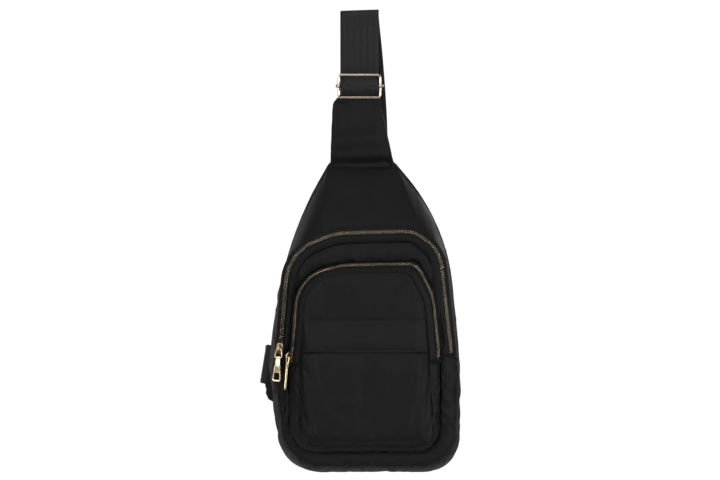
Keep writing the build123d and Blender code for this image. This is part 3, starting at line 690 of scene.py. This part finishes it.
def back_pad():
    """The padded mesh back: a rounded edge, a rim and three sewn channels across it."""
    edge = [outline_ring(y, grow) for y, grow in ((SEAM_Y, 0.0), (16.9, 0.7), (18.2, 0.9), (19.6, 0.2),
                                                  (20.6, -1.2))]
    rings = rings_inward(outline_ring(PAD_Y, -3.2), np.array([0.0, PAD_Y, -318.0]), 3.4)
    grid = np.concatenate([edge, rings])
    past_rim = border_distance(grid, True, ("first",)) - PAD_RIM
    relief = -CHANNEL_DEPTH * hump(past_rim, 2.2)
    for z in CHANNELS_Z:
        relief -= CHANNEL_DEPTH * hump(grid[..., 2] - z, 2.6) * ramp(past_rim, 3.0)
    pad = panel("back_pad_mesh", grid, MESH, ["back_panel"], 2.0, 10.0, closed=True,
                seam=0.8, wrinkle=0.4, scale=30.0, cloth=(0.01, 1.0, 1.5), sides=("first",), thick=1.5,
                cap=True, relief=relief, seed=41.0)


# ---- shoulder tab and side wing
# Left, right, front and rear of the sleeve at each height.
TAB_SECTIONS = np.array([(-35, 30.6, 11, 16, -158.0), (-34, 22, 4.6, 10.6, -118.0),
                         (-32.5, 16.4, 3.4, 9.8, -93.0), (-27.6, 15.4, 3.4, 9.8, -86.0)])
TAB_MIDDLE = (-5.0, 8.0, -120.0)


def tab_section(z, inset=0.0):
    left, right, front, rear = (np.interp(z, TAB_SECTIONS[:, 4], TAB_SECTIONS[:, k]) for k in range(4))
    radius = min(2.2, (rear - front) / 2 - inset - 0.2)
    loop, _ = outline_points(box_corners(left + inset, right - inset, front + inset, rear - inset),
                             [radius] * 4, [4] * 4, [26, 3, 26, 3])
    return level(loop, z)


def shoulder_tab():
    """The sleeve at the neck; its front is recessed under the adjuster and creased above the yoke."""
    heights = np.concatenate([[-86.4, -87.2, -88.6, -89.5, -91.0], np.linspace(-93, -158, 27)])
    rows = [tab_section(-93.0, 1.4), tab_section(-89.0, 1.3), tab_section(-86.8, 1.0)]
    grid = np.array(rows + [tab_section(z) for z in heights])
    x, y, z = np.moveaxis(grid, 2, 0)
    side = np.minimum(x - x.min(axis=1, keepdims=True), x.max(axis=1, keepdims=True) - x)
    front = y < y.mean(axis=1, keepdims=True)

    folds = 0.45 * np.sin((-z - 112.0 + 0.10 * x) / 2.3) * ramp(side - 4, 6) * ramp(-118.0 - z, 14)
    fill = ramp(-93.0 - z, 20) * ramp(side - 3, 8)
    recess = 0.5 * ramp(z + 106.0, 10)
    tuck = 3.4 * ramp(-145.0 - z, 8)
    relief = -STITCH_DIP * hump(side - STITCH_AT, STITCH_WIDE) + (fill + folds - recess - tuck) * front
    tab = panel("shoulder_tab_sleeve", grid, NYLON, ["shoulder_tab"], 0.0, 5.0, closed=True,
                seam=0.0, wrinkle=0.6, scale=17.0, cloth=(0.01, 0.5, 0.8), thick=0.6, inside=TAB_MIDDLE,
                relief=relief, seed=43.0)


WING_CORNERS = [(-99.8, -383.7), (-98.6, -376), (-93.8, -337.8), (-90, -331), (-86, -350), (-86, -392),
                (-89, -394.5), (-97, -390)]
WING_R = [2, 12, 6, 2, 2, 2, 2, 2]
WING_MIDDLE_Y = 13.5
WING_HALF_T = 1.7
WING_CENTRE = np.array([-92.0, 0.0, -364.0])


def side_wing():
    """The nylon tab in the left seam: two faces sewn together round a rounded edge."""
    loop, normals = outline_points(WING_CORNERS, WING_R, [4] * 8, [4, 14, 4, 8, 14, 3, 5, 4])
    rows = [upright(loop - normals * WING_HALF_T * (1 - math.sin(turn)),
                    WING_MIDDLE_Y - WING_HALF_T * math.cos(turn)) for turn in np.linspace(0, math.pi, 7)]
    shares = (0.3, 0.6, 0.9)
    fronts, backs = ([row + (WING_CENTRE - row) * (1, 0, 1) * share for share in shares]
                     for row in (rows[0], rows[-1]))
    grid = np.array(fronts[::-1] + rows + backs)
    own(closed_piece("side_wing_fabric", grid, NYLON, True, grid_uvs(grid)), "bag", ["side_wing"])


# ---- closed pieces
def outward(obj):
    """Turn a closed mesh's faces outwards."""
    work = bmesh.new()
    work.from_mesh(obj.data)
    bmesh.ops.recalc_face_normals(work, faces=work.faces)
    work.to_mesh(obj.data)
    work.free()
    return obj


def closed_piece(name, grid, material, caps=False, uvs=None, placed=True):
    """A closed mesh from a grid of loops; without caps its last loop joins its first."""
    rows, cols, _ = grid.shape
    last = (rows - 1) * cols
    faces = grid_faces(rows, cols, True)
    if caps:
        faces += end_faces(rows, cols)
    else:
        faces += [(last + c, c, (c + 1) % cols, last + (c + 1) % cols) for c in range(cols)]
    points = grid.reshape(-1, 3)
    return outward(make_object(name, place(points) if placed else points, faces, material, uvs))


def joined(name, pieces):
    """Join several objects into one."""
    work = bmesh.new()
    for piece in pieces:
        work.from_mesh(piece.data)
    mesh = bpy.data.meshes.new(name)
    work.to_mesh(mesh)
    work.free()
    mesh.materials.append(pieces[0].data.materials[0])
    for piece in pieces:
        bpy.data.objects.remove(piece)
    made = bpy.data.objects.new(name, mesh)
    bpy.context.collection.objects.link(made)
    mesh.shade_smooth()
    return made


# ---- webbing
WEBBING_WIDTH = 38.6
WEBBING_T = 1.4
BAND_STEP = 2.4


def band(name, centres, widths, width, thickness, node_name):
    """A flat woven band along a line of centres, its width pointing along widths."""
    tangents = unit(np.gradient(centres, axis=0))
    widths = square_to(widths, tangents)
    normals = np.cross(tangents, widths)
    half, edge = width / 2, thickness / 2
    across = np.linspace(-half + edge, half - edge, 11)
    crown = edge * (1 - 0.12 * (across / half) ** 4)
    rounding = np.linspace(math.pi / 2, -math.pi / 2, 6)[1:-1]
    side = np.stack([half - edge + edge * np.cos(rounding), edge * np.sin(rounding)], axis=1)
    face = np.stack([across, crown], axis=1)
    section = np.concatenate([face, side, -face, -side[::-1]])
    grid = centres[:, None] + widths[:, None] * section[:, :1] + normals[:, None] * section[:, 1:]
    uvs = np.zeros((*grid.shape[:2], 2))
    uvs[..., 0] = section[:, 0] + half
    uvs[..., 1] = travelled(centres)[:, None]
    piece = closed_piece(name, grid, WEBBING, True, uvs.reshape(-1, 2) * MM)
    own(piece, "bag", [node_name])


def evened(step, points, *others):
    """Resample a line of points evenly, with any values that belong to them."""
    length = travelled(points)
    wanted = np.linspace(0, length[-1], max(int(length[-1] / step), 2) + 1)
    return [np.stack([np.interp(wanted, length, column) for column in np.transpose(values)], axis=1)
            for values in (points, *others)]


def rounded_line(points, radii):
    """An open line through points with its corners rounded by tangent arcs."""
    points = np.array(points, float)
    line = [points[0]]
    for before, corner, after, radius in zip(points, points[1:], points[2:], radii):
        centre, start, end, _ = corner_arc(before, corner, after, radius)
        share = np.linspace(0, 1, 7)[:, None]
        line.extend(centre + unit(start * (1 - share) + end * share) * radius)
    return np.array(line + [points[-1]])


def half_turn(radius, z, steps):
    """Points (y, z) from the front over to the rear of a circle round y = 0."""
    angles = np.linspace(math.pi, 0, steps)
    return np.stack([radius * np.cos(angles), z + radius * np.sin(angles)], axis=1)


def at_bar(points, step):
    """Points (y, z) in the plane through the bar's middle, evenly spaced."""
    return evened(step, np.column_stack([np.full(len(points), BAR_X), points]))[0]


def smooth_through(points, steps):
    """A Catmull-Rom line through points, steps to a span."""
    points = np.array(points, float)
    padded = np.concatenate([[2 * points[0] - points[1]], points, [2 * points[-1] - points[-2]]])
    t = (np.arange(steps) / steps)[:, None]
    line = [0.5 * (2 * b + (c - a) * t + (2 * a - 5 * b + 4 * c - d) * t ** 2
                   + (3 * b - a - 3 * c + d) * t ** 3)
            for a, b, c, d in zip(padded, padded[1:], padded[2:], padded[3:])]
    return np.concatenate([*line, points[-1:]])


BAR_Z = -76.0
FOLD_R = 5.7                  # radius of the webbing's middle over the rail
FOLD_Z = -6.4
FOLD_TILT = 0.035             # the fold lies a little higher on the right
FOLD_TILT_FROM = -62.0        # the tilt starts at this height
FOLD_TILT_OVER = 56.0         # and is whole this much higher
LEG_END_Z = -16.0
TAIL_END_Z = -104.0
# Slack run behind the bag: centre of the webbing, and the way its width points.
SLACK = [((-4.6, FOLD_R, LEG_END_Z), (1, 0, 0)), ((-1, 10, -52), (1, 0, 0)), ((2.6, 17, -102), (1, 0, 0)),
         ((4.3, 27, -150), (1, 0, 0)), ((6, 36, -198), (0.97, 0.24, 0)), ((8, 43, -243), (0.8, 0.6, 0)),
         ((10, 47, -285), (0.45, 0.9, 0)), ((10, 48, -325), (0.1, 1, 0)), ((4, 48, -362), (0, 1, 0)),
         ((-12, 46.5, -387), (0, 1, -0.08)), ((-34, 42.5, -392), (-0.02, 0.88, -0.4)),
         ((-56, 35.5, -382), (-0.06, 0.62, -0.75)), ((-76, 28.5, -367), (-0.12, 0.3, -0.94))]
WING_TURN_R = 4.5
WING_TURN = np.array([-97.6, 18.0, -355.3])
LEAN = (-0.16, 0, -0.987)
LEFTWARD = np.array([-0.987, 0, 0.16])
WING_TAIL = 9.0


def tilted(z):
    """The strap's sideways tilt at a height."""
    return FOLD_TILT * ramp(z - FOLD_TILT_FROM, FOLD_TILT_OVER)


def strap():
    """The strap: tail in the tab, through the adjuster, over the fold, and slack behind the bag."""
    route = rounded_line([(5, TAIL_END_Z), (5, -85.8), (-3.4, -78.6), (-3.4, -74), (4, -66.6), (4, -58),
                          (-FOLD_R, LEG_END_Z), (-FOLD_R, FOLD_Z)], [2.5, 2, 2, 2.5, 12, 12])
    front = at_bar(np.concatenate([route, half_turn(FOLD_R, FOLD_Z, 15)[1:]]), BAND_STEP / 2)
    tilt = tilted(front[:, 2])
    front_widths = np.stack([np.cos(tilt), np.zeros(len(tilt)), np.sin(tilt)], axis=1)
    angle = np.linspace(0, math.pi, 7)[:, None]
    around = WING_TURN + WING_TURN_R * (np.array([0, 1, 0]) * np.cos(angle) + LEFTWARD * np.sin(angle))
    centres = [centre for centre, _ in SLACK] + [*around, around[-1] - LEFTWARD * WING_TAIL]
    widths = [width for _, width in SLACK] + [LEAN] * (len(around) + 1)
    rear, rear_widths = evened(BAND_STEP, smooth_through(centres, 16), smooth_through(widths, 16))
    rear_widths[:, 2] += tilted(rear[:, 2])
    band("strap_ribbed_webbing", np.concatenate([front, rear[1:]]),
         np.concatenate([front_widths, rear_widths[1:]]), WEBBING_WIDTH, WEBBING_T, "strap_webbing")


ANCHOR_T = 1.2
ANCHOR_R = 2.0                # radius of the anchor's middle round the bar
ANCHOR_LEGS_Y = (6.6, 8.1)
LEG_TOP_Z = BAR_Z - 1.2


def strap_anchor():
    """The loop of webbing that holds the adjuster's bar, its two legs sewn inside the tab."""
    front_y, rear_y = ANCHOR_LEGS_Y
    up = rounded_line([(front_y, TAIL_END_Z), (front_y, LEG_TOP_Z - front_y - ANCHOR_R),
                       (-ANCHOR_R, LEG_TOP_Z), (-ANCHOR_R, BAR_Z)], [1.2, 0.9])
    down = rounded_line([(ANCHOR_R, BAR_Z), (ANCHOR_R, LEG_TOP_Z), (rear_y, LEG_TOP_Z - rear_y + ANCHOR_R),
                         (rear_y, TAIL_END_Z)], [0.9, 1.2])
    route = at_bar(np.concatenate([up, half_turn(ANCHOR_R, BAR_Z, 13)[1:-1], down]), 0.8)
    widths = np.tile([1.0, 0, 0], (len(route), 1))
    band("anchor_ribbed_webbing", route, widths, WEBBING_WIDTH - 1, ANCHOR_T, "anchor_loop")


# ---- zip teeth
TOOTH_PITCH = 2.6
# Distance from the zip's centre, half length along it, bottom and top above the tape.
TOOTH = [(2.05, 0.22, -0.40, 0.80), (1.85, 0.34, -0.60, 1.30), (1.20, 0.38, -0.60, 1.70),
         (0.60, 0.36, -0.45, 1.70), (0.10, 0.32, -0.20, 1.50), (-0.20, 0.22, 0.10, 1.10)]
SPLIT_REACH = 0.36            # the teeth stand this far off the centre where the slider's post travels
TOOTH_CUT = 0.45              # chamfer of a tooth's section, as a share of its half length


def tooth_points(split):
    rows = []
    for v, half, low, high in TOOTH:
        v = max(v, SPLIT_REACH + 0.1 * (v + 0.4)) if split else v
        cut = half * TOOTH_CUT
        rows.append([(x, v, z) for x, z in (
            (-half, low + cut), (-half, high - cut), (cut - half, high), (half - cut, high),
            (half, high - cut), (half, low + cut), (half - cut, low), (cut - half, low))])
    return np.array(rows)


def teeth(zip_name, centre, outside, split_from, split_to):
    """Two interleaved rows of metal teeth along a zip's centre line; outside points off the centre
    towards the outer row, and the teeth stand apart between two heights on the left arm."""
    line, across = evened(TOOTH_PITCH, centre, outside)
    for row, (side, stem) in enumerate(((1, "outer"), (-1, "inner"))):
        verts, faces = [], []
        for k in range(len(line) - 2):
            at = k + 0.5 + 0.5 * row
            i, f = int(at), at - int(at)
            p = line[i] * (1 - f) + line[i + 1] * f
            t = unit(line[i + 1] - line[i])
            v = square_to(across[i], t)
            h = np.cross(t, v)
            h = h if h[1] < 0 else -h
            local = tooth_points(p[0] < 0 and split_from < p[2] < split_to)
            rows, cols, _ = local.shape
            faces += grid_faces(rows, cols, True, len(verts)) + end_faces(rows, cols, len(verts))
            verts.extend(local.reshape(-1, 3) @ np.array([t, v * side, h]) + p)
        piece = outward(make_object(f"{zip_name}_zip_teeth_{stem}_metal", place(verts), faces, TEETH))
        own(piece, "bag", [f"{zip_name}_zip_{stem}_teeth"])


def zip_teeth():
    arch = MAIN_ARCH[1:-1]
    teeth("main", main_ring(0.0, 1.0)[arch], (main_ring(1.0) - main_ring(-1.0))[arch], -350.0, -278.0)
    arch = POCKET_ARCH[1:-1]
    outside = pocket_ring(POCKET_ROW - 0.05) - pocket_ring(POCKET_ROW + 0.05)
    teeth("pocket", pocket_ring(POCKET_ROW)[arch], outside[arch], -357.0, -296.0)


# ---- hardware
def pivot_of(joint):
    """A hinge's pivot in the frame, in metres."""
    return np.array(joints[joint]["pos_m"])


def in_place(obj, origin, *axes):
    """Move a mesh drawn in local millimetres to an origin and axes in the frame."""
    points = points_of(obj.data) @ np.array(axes) * MM + np.array(origin)
    obj.data.vertices.foreach_set("co", points.ravel())
    return outward(obj)


def rounded_edges(loop, normals, low, high, bevel):
    """Loops down a plate's side, from the flat of its top round both edges to the flat of its bottom."""
    angles = np.linspace(0, math.pi / 2, 4)
    edge = [(bevel * (1 - math.sin(a)), bevel * (1 - math.cos(a))) for a in angles]
    return ([level(loop - normals * inset, high - drop) for inset, drop in edge]
            + [level(loop - normals * inset, low + drop) for inset, drop in edge[::-1]])


def slab(loop, normals, low, high, bevel, material=SLIDER_SHADED_GOLD, hole=None):
    """A plate with rounded edges between two heights, with a hole if hole is another loop."""
    rows = rounded_edges(loop, normals, low, high, bevel)
    if hole:
        rows += rounded_edges(hole[0], -hole[1], low, high, bevel)[::-1]
    return closed_piece("plate", np.array(rows), material, hole is None, placed=False)


def shape(corners, radii, steps=5):
    return outline_points(corners, radii, [steps] * len(corners), [steps] * len(corners))


def box_shape(x, y, wide, long, radius):
    return shape(box_corners(x - wide / 2, x + wide / 2, y - long / 2, y + long / 2), [radius] * 4)


def turned(name, profile, sides, material):
    """A shape turned about the local X axis from a closed or end-to-end profile of (x, radius)."""
    angles = np.linspace(0, math.tau, sides, endpoint=False)
    grid = np.array([np.stack([np.full(sides, x), r * np.cos(angles), r * np.sin(angles)], axis=1)
                     for x, r in profile])
    return closed_piece(name, grid, material, profile[0][1] < 0.05, placed=False)


def wire_loop(name, points, radius, material, sides=12):
    """A closed wire along a closed line of points."""
    tangents = unit(np.roll(points, -1, axis=0) - np.roll(points, 1, axis=0))
    outs = square_to(points - points.mean(axis=0), tangents)
    sideways = np.cross(tangents, outs)
    angles = np.linspace(0, math.tau, sides, endpoint=False)
    grid = np.array([points + radius * (outs * math.cos(a) + sideways * math.sin(a)) for a in angles])
    return closed_piece(name, grid, material, placed=False)


SLIDER_PLATE = [(-2.5, 5.0), (2.5, 5.0), (3.8, 3.4), (3.8, -1.6), (2.8, -5.0), (-2.8, -5.0), (-3.8, -1.6),
                (-3.8, 3.4)]
SLIDER_PLATE_R = [1.0, 1.0, 1.4, 2.5, 1.2, 1.2, 2.5, 1.4]
PLATE_LOW = 2.2
PLATE_HIGH = 3.6
# Rear plate, post and flanges: middle, width, length, corner radius, bottom, top and bevel.
SLIDER_BLOCKS = [(0, 0, 5.0, 9.0, 1.6, -2.1, -1.2, 0.3), (0, 2.0, 0.56, 3.0, 0.2, -1.4, 2.5, 0.05),
                 (-3.42, 0.2, 0.68, 5.4, 0.25, 0.5, 2.6, 0.15), (3.42, 0.2, 0.68, 5.4, 0.25, 0.5, 2.6, 0.15)]
CROWN_HEIGHT = 4.4
CROWN_HALF = 2.95
PIVOT_LOCAL = np.array([0.0, -1.0, 5.5])               # the link's pivot, from the slider's origin
CROWN_SECTION = (0.85, 0.6)   # half width and half thickness of the crown's strip
WIRE_R = 0.75
LINK_HALF = (2.2, 3.7)
PULL_HALF = (2.2, 4.7)
PULL_ENDS = (-1.2, -24.0)
WINDOW_HALF = (2.4, 2.9)
WINDOW_ENDS = (-15.2, -22.2)
BARREL_HALF = 2.1
BARREL_R = 1.62


def rounded_square(values, power):
    """Cosines or sines made squarer by a power below 1."""
    return np.sign(values) * np.abs(values) ** power


def tapered(halves, ends, radii):
    """A four-cornered shape with its half widths at its upper and lower end."""
    (upper, lower), (high, low) = halves, ends
    return shape([(-upper, high), (upper, high), (lower, low), (-lower, low)], radii, 8)


def zip_axes(zip_name):
    """The directions across a zip, up along it and out of it, where its slider stands."""
    across = -np.array(joints[f"{zip_name}_link_swing"]["axis"], float)
    up = np.array(joints[f"{zip_name}_zip_slide"]["axis"], float)
    return across, up, np.cross(across, up)


def zip_slider(zip_name):
    """The slider: plates, flanges and post, and the arched crown that holds the link."""
    axes = zip_axes(zip_name)
    origin = pivot_of(f"{zip_name}_link_swing") - PIVOT_LOCAL @ np.array(axes) * MM
    arch = np.linspace(-0.12, math.pi + 0.12, 25)
    rise = PLATE_HIGH - 0.3 + CROWN_HEIGHT * rounded_square(np.sin(arch), 0.8)
    centre = np.stack([np.zeros(25), CROWN_HALF * np.cos(arch), rise], axis=1)
    normal = np.cross(unit(np.gradient(centre, axis=0)), [1.0, 0, 0])
    ring = np.linspace(0, math.tau, 16, endpoint=False)
    wide, thick = (half * rounded_square(turn(ring), 0.6)
                   for half, turn in zip(CROWN_SECTION, (np.cos, np.sin)))
    grid = centre[:, None] + normal[:, None] * thick[:, None]
    grid[..., 0] += wide
    crown = in_place(closed_piece(f"{zip_name}_slider_crown", grid, GOLD, True, placed=False), origin, *axes)
    own(crown, f"{zip_name}_slider")
    # The plates take the slider's darkened gold, painted shade for the dark reflection on its body.
    parts = [slab(*shape(SLIDER_PLATE, SLIDER_PLATE_R), PLATE_LOW, PLATE_HIGH, 0.5)]
    parts += [slab(*box_shape(*block[:5]), *block[5:]) for block in SLIDER_BLOCKS]
    own(in_place(joined(f"{zip_name}_slider_body", parts), origin, *axes), f"{zip_name}_slider",
        [f"{zip_name}_zip_slider"])


def link_and_pull(zip_name):
    """The wire link and the tapered pull with its window and its barrel round the link's lower bar."""
    across, up, out = zip_axes(zip_name)
    upper, lower = pivot_of(f"{zip_name}_link_swing"), pivot_of(f"{zip_name}_pull_swing")
    pull_across = -np.array(joints[f"{zip_name}_pull_swing"]["axis"], float)
    drop = -np.linalg.norm(lower - upper) / MM
    twist = math.atan2(np.dot(pull_across, out), np.dot(pull_across, across))
    x, y = tapered(LINK_HALF, (0, drop), [0.9, 0.9, 1.1, 1.1])[0].T
    angle = twist * np.clip(y / drop, 0, 1)
    points = np.stack([x * np.cos(angle), y, x * np.sin(angle)], axis=1)
    link = in_place(wire_loop(f"{zip_name}_link_wire", points, WIRE_R, GOLD), upper, across, up, out)
    own(link, f"{zip_name}_link", [f"{zip_name}_zip_link"])
    plate = slab(*tapered(PULL_HALF, PULL_ENDS, [0.3, 0.3, 2.0, 2.0]), -0.95, 0.95, 0.4, GOLD,
                 hole=tapered(WINDOW_HALF, WINDOW_ENDS, [0.9] * 4))
    bore = WIRE_R + 0.07
    end = [(1.7, BARREL_R), (1.95, 1.55), (BARREL_HALF, 1.3), (BARREL_HALF, bore)]
    barrel = turned("barrel", [(-x, r) for x, r in end[::-1]] + end, 28, GOLD)
    pull = in_place(joined(f"{zip_name}_pull_tab", [plate, barrel]), lower, pull_across, up,
                    np.cross(pull_across, up))
    own(pull, f"{zip_name}_pull", [f"{zip_name}_zip_pull"])


def zip_stops():
    """A rounded metal stop clenched across each end of each zip."""
    for zip_name, ring, arch in (("main", main_ring(0.0, 1.0), MAIN_ARCH),
                                 ("pocket", pocket_ring(POCKET_ROW), POCKET_ARCH)):
        parts = []
        for end, ahead in ((arch[1], arch[4]), (arch[-2], arch[-5])):
            here, beyond = place([ring[end], ring[ahead]])
            run = unit(beyond - here)
            side = np.cross(run, (math.copysign(1.0, here[0]), 0, 0))
            side = side if side[1] < 0 else -side
            stop = slab(*box_shape(0, 0, 5.0, 2.0, 0.7), -4.8, -2.7, 0.5, TEETH)
            parts.append(in_place(stop, here, np.cross(run, side), run, side))
        own(joined(f"{zip_name}_zip_stop_metal", parts), "bag", [f"{zip_name}_zip_stops"])


FRAME_WIRE_R = 1.3
FRAME_CORNER = 2.9
BAR_R = 1.25
BOSS = [(-1.5, 1.32), (-1.5, 2.0), (-1.2, 2.3), (1.2, 2.3), (1.5, 2.0), (1.5, 1.32)]


def adjuster():
    """The strap adjuster: a rounded wire frame with a boss each side, and its domed bar."""
    low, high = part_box("adjuster_frame")
    wide, _, tall = (high - low) / MM / 2 - Vector([FRAME_WIRE_R] * 3)
    loop, _ = shape(box_corners(-wide, wide, -tall, tall), [FRAME_CORNER] * 4, 12)
    wire = wire_loop("wire", upright(loop, 0.0), FRAME_WIRE_R, ROSE, 16)
    parts = [in_place(wire, (low + high) / 2, *np.eye(3))]
    bar_middle = (bar_low + bar_high) / 2
    for side in (-1, 1):
        boss = turned("boss", BOSS, 28, ROSE)
        parts.append(in_place(boss, bar_middle + Vector((side * wide * MM, 0, 0)), *np.eye(3)))
    own(outward(joined("adjuster_frame_wire", parts)), "adjuster", ["adjuster_frame"])
    half = (bar_high.x - bar_low.x) / 2 / MM
    dome = [(half - 0.9 * (1 - math.sin(a)), 1.9 * math.cos(a))
            for a in np.linspace(0, math.pi / 2 - 0.02, 7)]
    end = [(half - 1.0, BAR_R), (half - 1.0, 1.8)] + dome
    shaft = [(x, BAR_R) for x in np.linspace(1.0 - half, half - 1.0, 9)[1:-1]]
    rod = turned("adjuster_bar_rod", [(-x, r) for x, r in end[::-1]] + shaft + end, 24, ROSE)
    own(in_place(rod, bar_middle, *np.eye(3)), "bag", ["adjuster_bar"])


# ---- stitching
STITCH_LENGTH = 2.5
STITCH_PITCH = 3.3
STITCH_R = 0.24
STITCH_LIFT = 0.55            # a stitch's middle stands this share of its radius off the fabric
# Along a stitch: the share of its half length, the share of its radius, and how far it sinks in radii.
STITCH_ROWS = [(-1, 0.35, 0.9), (-0.86, 0.8, 0.45), (-0.4, 1.0, 0.0), (0.4, 1.0, 0.0), (0.86, 0.8, 0.45),
               (1, 0.35, 0.9)]


def panel_line(obj, row):
    """Points and normals along a row of a relaxed panel, in millimetres."""
    rows, cols = obj["grid"]
    points = points_of(obj.data).reshape(rows, cols, 3) / MM
    return points[row], grid_normals(points, False)[row]


def stitch_lines(name, lines):
    """Thread stitches along lines of (points, normals), as one piece."""
    ring = np.linspace(0, math.tau, 6, endpoint=False)
    along, scale, sink = np.array(STITCH_ROWS).T[..., None]
    local = np.stack(np.broadcast_arrays(along * STITCH_LENGTH / 2, STITCH_R * scale * np.cos(ring),
                                         STITCH_R * (scale * np.sin(ring) - sink)), axis=2)
    rows, cols, _ = local.shape
    verts, faces = [], []
    for points, normals in lines:
        centres, ups = evened(STITCH_PITCH, points, normals)
        for a, b, up in zip(centres, centres[1:], ups):
            run = unit(b - a)
            up = square_to(up, run)
            centre = (a + b) / 2 + up * STITCH_R * STITCH_LIFT
            faces += grid_faces(rows, cols, True, len(verts)) + end_faces(rows, cols, len(verts))
            verts.extend(local.reshape(-1, 3) @ np.array([run, np.cross(run, up), up]) + centre)
    uv = np.stack(np.broadcast_arrays(along * STITCH_LENGTH / 2, ring * STITCH_R), axis=2).reshape(-1, 2)
    uvs = np.tile(uv, (len(verts) // len(uv), 1)) * MM
    own(outward(make_object(name, np.array(verts) * MM, faces, THREAD, uvs)), "bag")


# ---- making
yoke, main_front = panels_of_shell()
main_band, pocket_band = zip_bands()
pocket_front = panels_of_pocket()
slip_band = panels_of_slip_pocket()
back_pad()
shoulder_tab()
relax_panels()

stitch_lines("topstitching", [panel_line(obj, row) for obj, row in (
    (yoke, -5), (main_front, 4), (pocket_front, 4), (slip_band, 3), (main_band, 1), (pocket_band, 1))])
give_thickness()

side_wing()
strap()
strap_anchor()
zip_teeth()
zip_stops()
adjuster()
for zip_name in ("main", "pocket"):
    zip_slider(zip_name)
    link_and_pull(zip_name)

for lining in ("main_lining", "pocket_lining"):
    mesh = frame["nodes"][lining].data
    mesh.materials.clear()
    mesh.materials.append(LINING)


# ---- floor, light and camera
LIT_SPOT = Vector((0.0, 0.0, -0.22))
# Name, place, size in metres and power in watts.
LIGHTS = (("key", (-1.0, -1.9, 0.35), 1.1, 26), ("fill", (1.7, -1.1, 0.0), 0.8, 20),
          ("top", (0.0, -0.5, 1.4), 0.8, 5), ("rear", (0.8, 1.9, 0.6), 1.4, 9),
          ("rear_left", (-1.4, 1.4, 0.3), 1.2, 5))
FLOOR_Z = -0.56
SEEN_STRENGTH, LIT_STRENGTH = 1.05, 0.16      # of the world, as seen by the camera and as light


def stage():
    """A pale round floor under the hanging bag, soft lights, and the front camera."""
    floor_material, tree, shader = new_material("pale_floor", (0.82, 0.82, 0.81), 0.6)
    two_tone(tree, shader, noise_value(tree, 3.0), (0.80, 0.80, 0.79), (0.84, 0.84, 0.83))
    rings = [(0.0, 0.0), (0.5, 0.0), (0.9, 0.0), (1.0, 0.0), (1.01, -0.004), (1.01, -0.02)]
    angles = np.linspace(0, math.tau, 96, endpoint=False)
    grid = np.array([np.stack([r * np.cos(angles), r * np.sin(angles), np.full(96, z + FLOOR_Z)], axis=1)
                     for r, z in [(max(r, 0.01), z) for r, z in rings]])
    faces = grid_faces(len(rings), 96, True) + [list(range(96))]
    outward(make_object("floor", grid.reshape(-1, 3), faces, floor_material, smooth=False))

    world = bpy.data.worlds.new("studio")
    bpy.context.scene.world = world
    world.use_nodes = True
    tree = world.node_tree
    seen = tree.nodes["Background"]
    seen.inputs["Color"].default_value = (1, 1, 1, 1)
    seen.inputs["Strength"].default_value = SEEN_STRENGTH
    lit = node(tree, "ShaderNodeBackground", Color=(1, 1, 1, 1), Strength=LIT_STRENGTH)
    mix = node(tree, "ShaderNodeMixShader")
    tree.links.new(node(tree, "ShaderNodeLightPath").outputs["Is Camera Ray"], mix.inputs["Fac"])
    tree.links.new(lit.outputs[0], mix.inputs[1])
    tree.links.new(seen.outputs[0], mix.inputs[2])
    tree.links.new(mix.outputs[0], tree.nodes["World Output"].inputs["Surface"])

    for name, spot, size, power in LIGHTS:
        data = bpy.data.lights.new(name, "AREA")
        data.size = size
        data.energy = power
        lamp = bpy.data.objects.new(name, data)
        bpy.context.collection.objects.link(lamp)
        lamp.location = spot
        lamp.rotation_mode = "QUATERNION"
        lamp.rotation_quaternion = (LIT_SPOT - Vector(spot)).to_track_quat("-Z", "Y")


CAMERA_DISTANCE = 3.0
VIEW_WIDTH = 0.72             # width of the view where the bag hangs
VIEW_CENTRE = Vector((0.0005, 0.0, -0.2236))


def camera():
    data = bpy.data.cameras.new("front")
    data.sensor_width = 36.0
    data.lens = data.sensor_width * CAMERA_DISTANCE / VIEW_WIDTH
    data.clip_end = 20.0
    made = bpy.data.objects.new("front", data)
    bpy.context.collection.objects.link(made)
    made.location = VIEW_CENTRE - Vector((0, CAMERA_DISTANCE, 0))
    made.rotation_euler = (math.pi / 2, 0, 0)
    bpy.context.scene.camera = made


stage()
camera()
bpy.context.scene.view_settings.view_transform = "Standard"
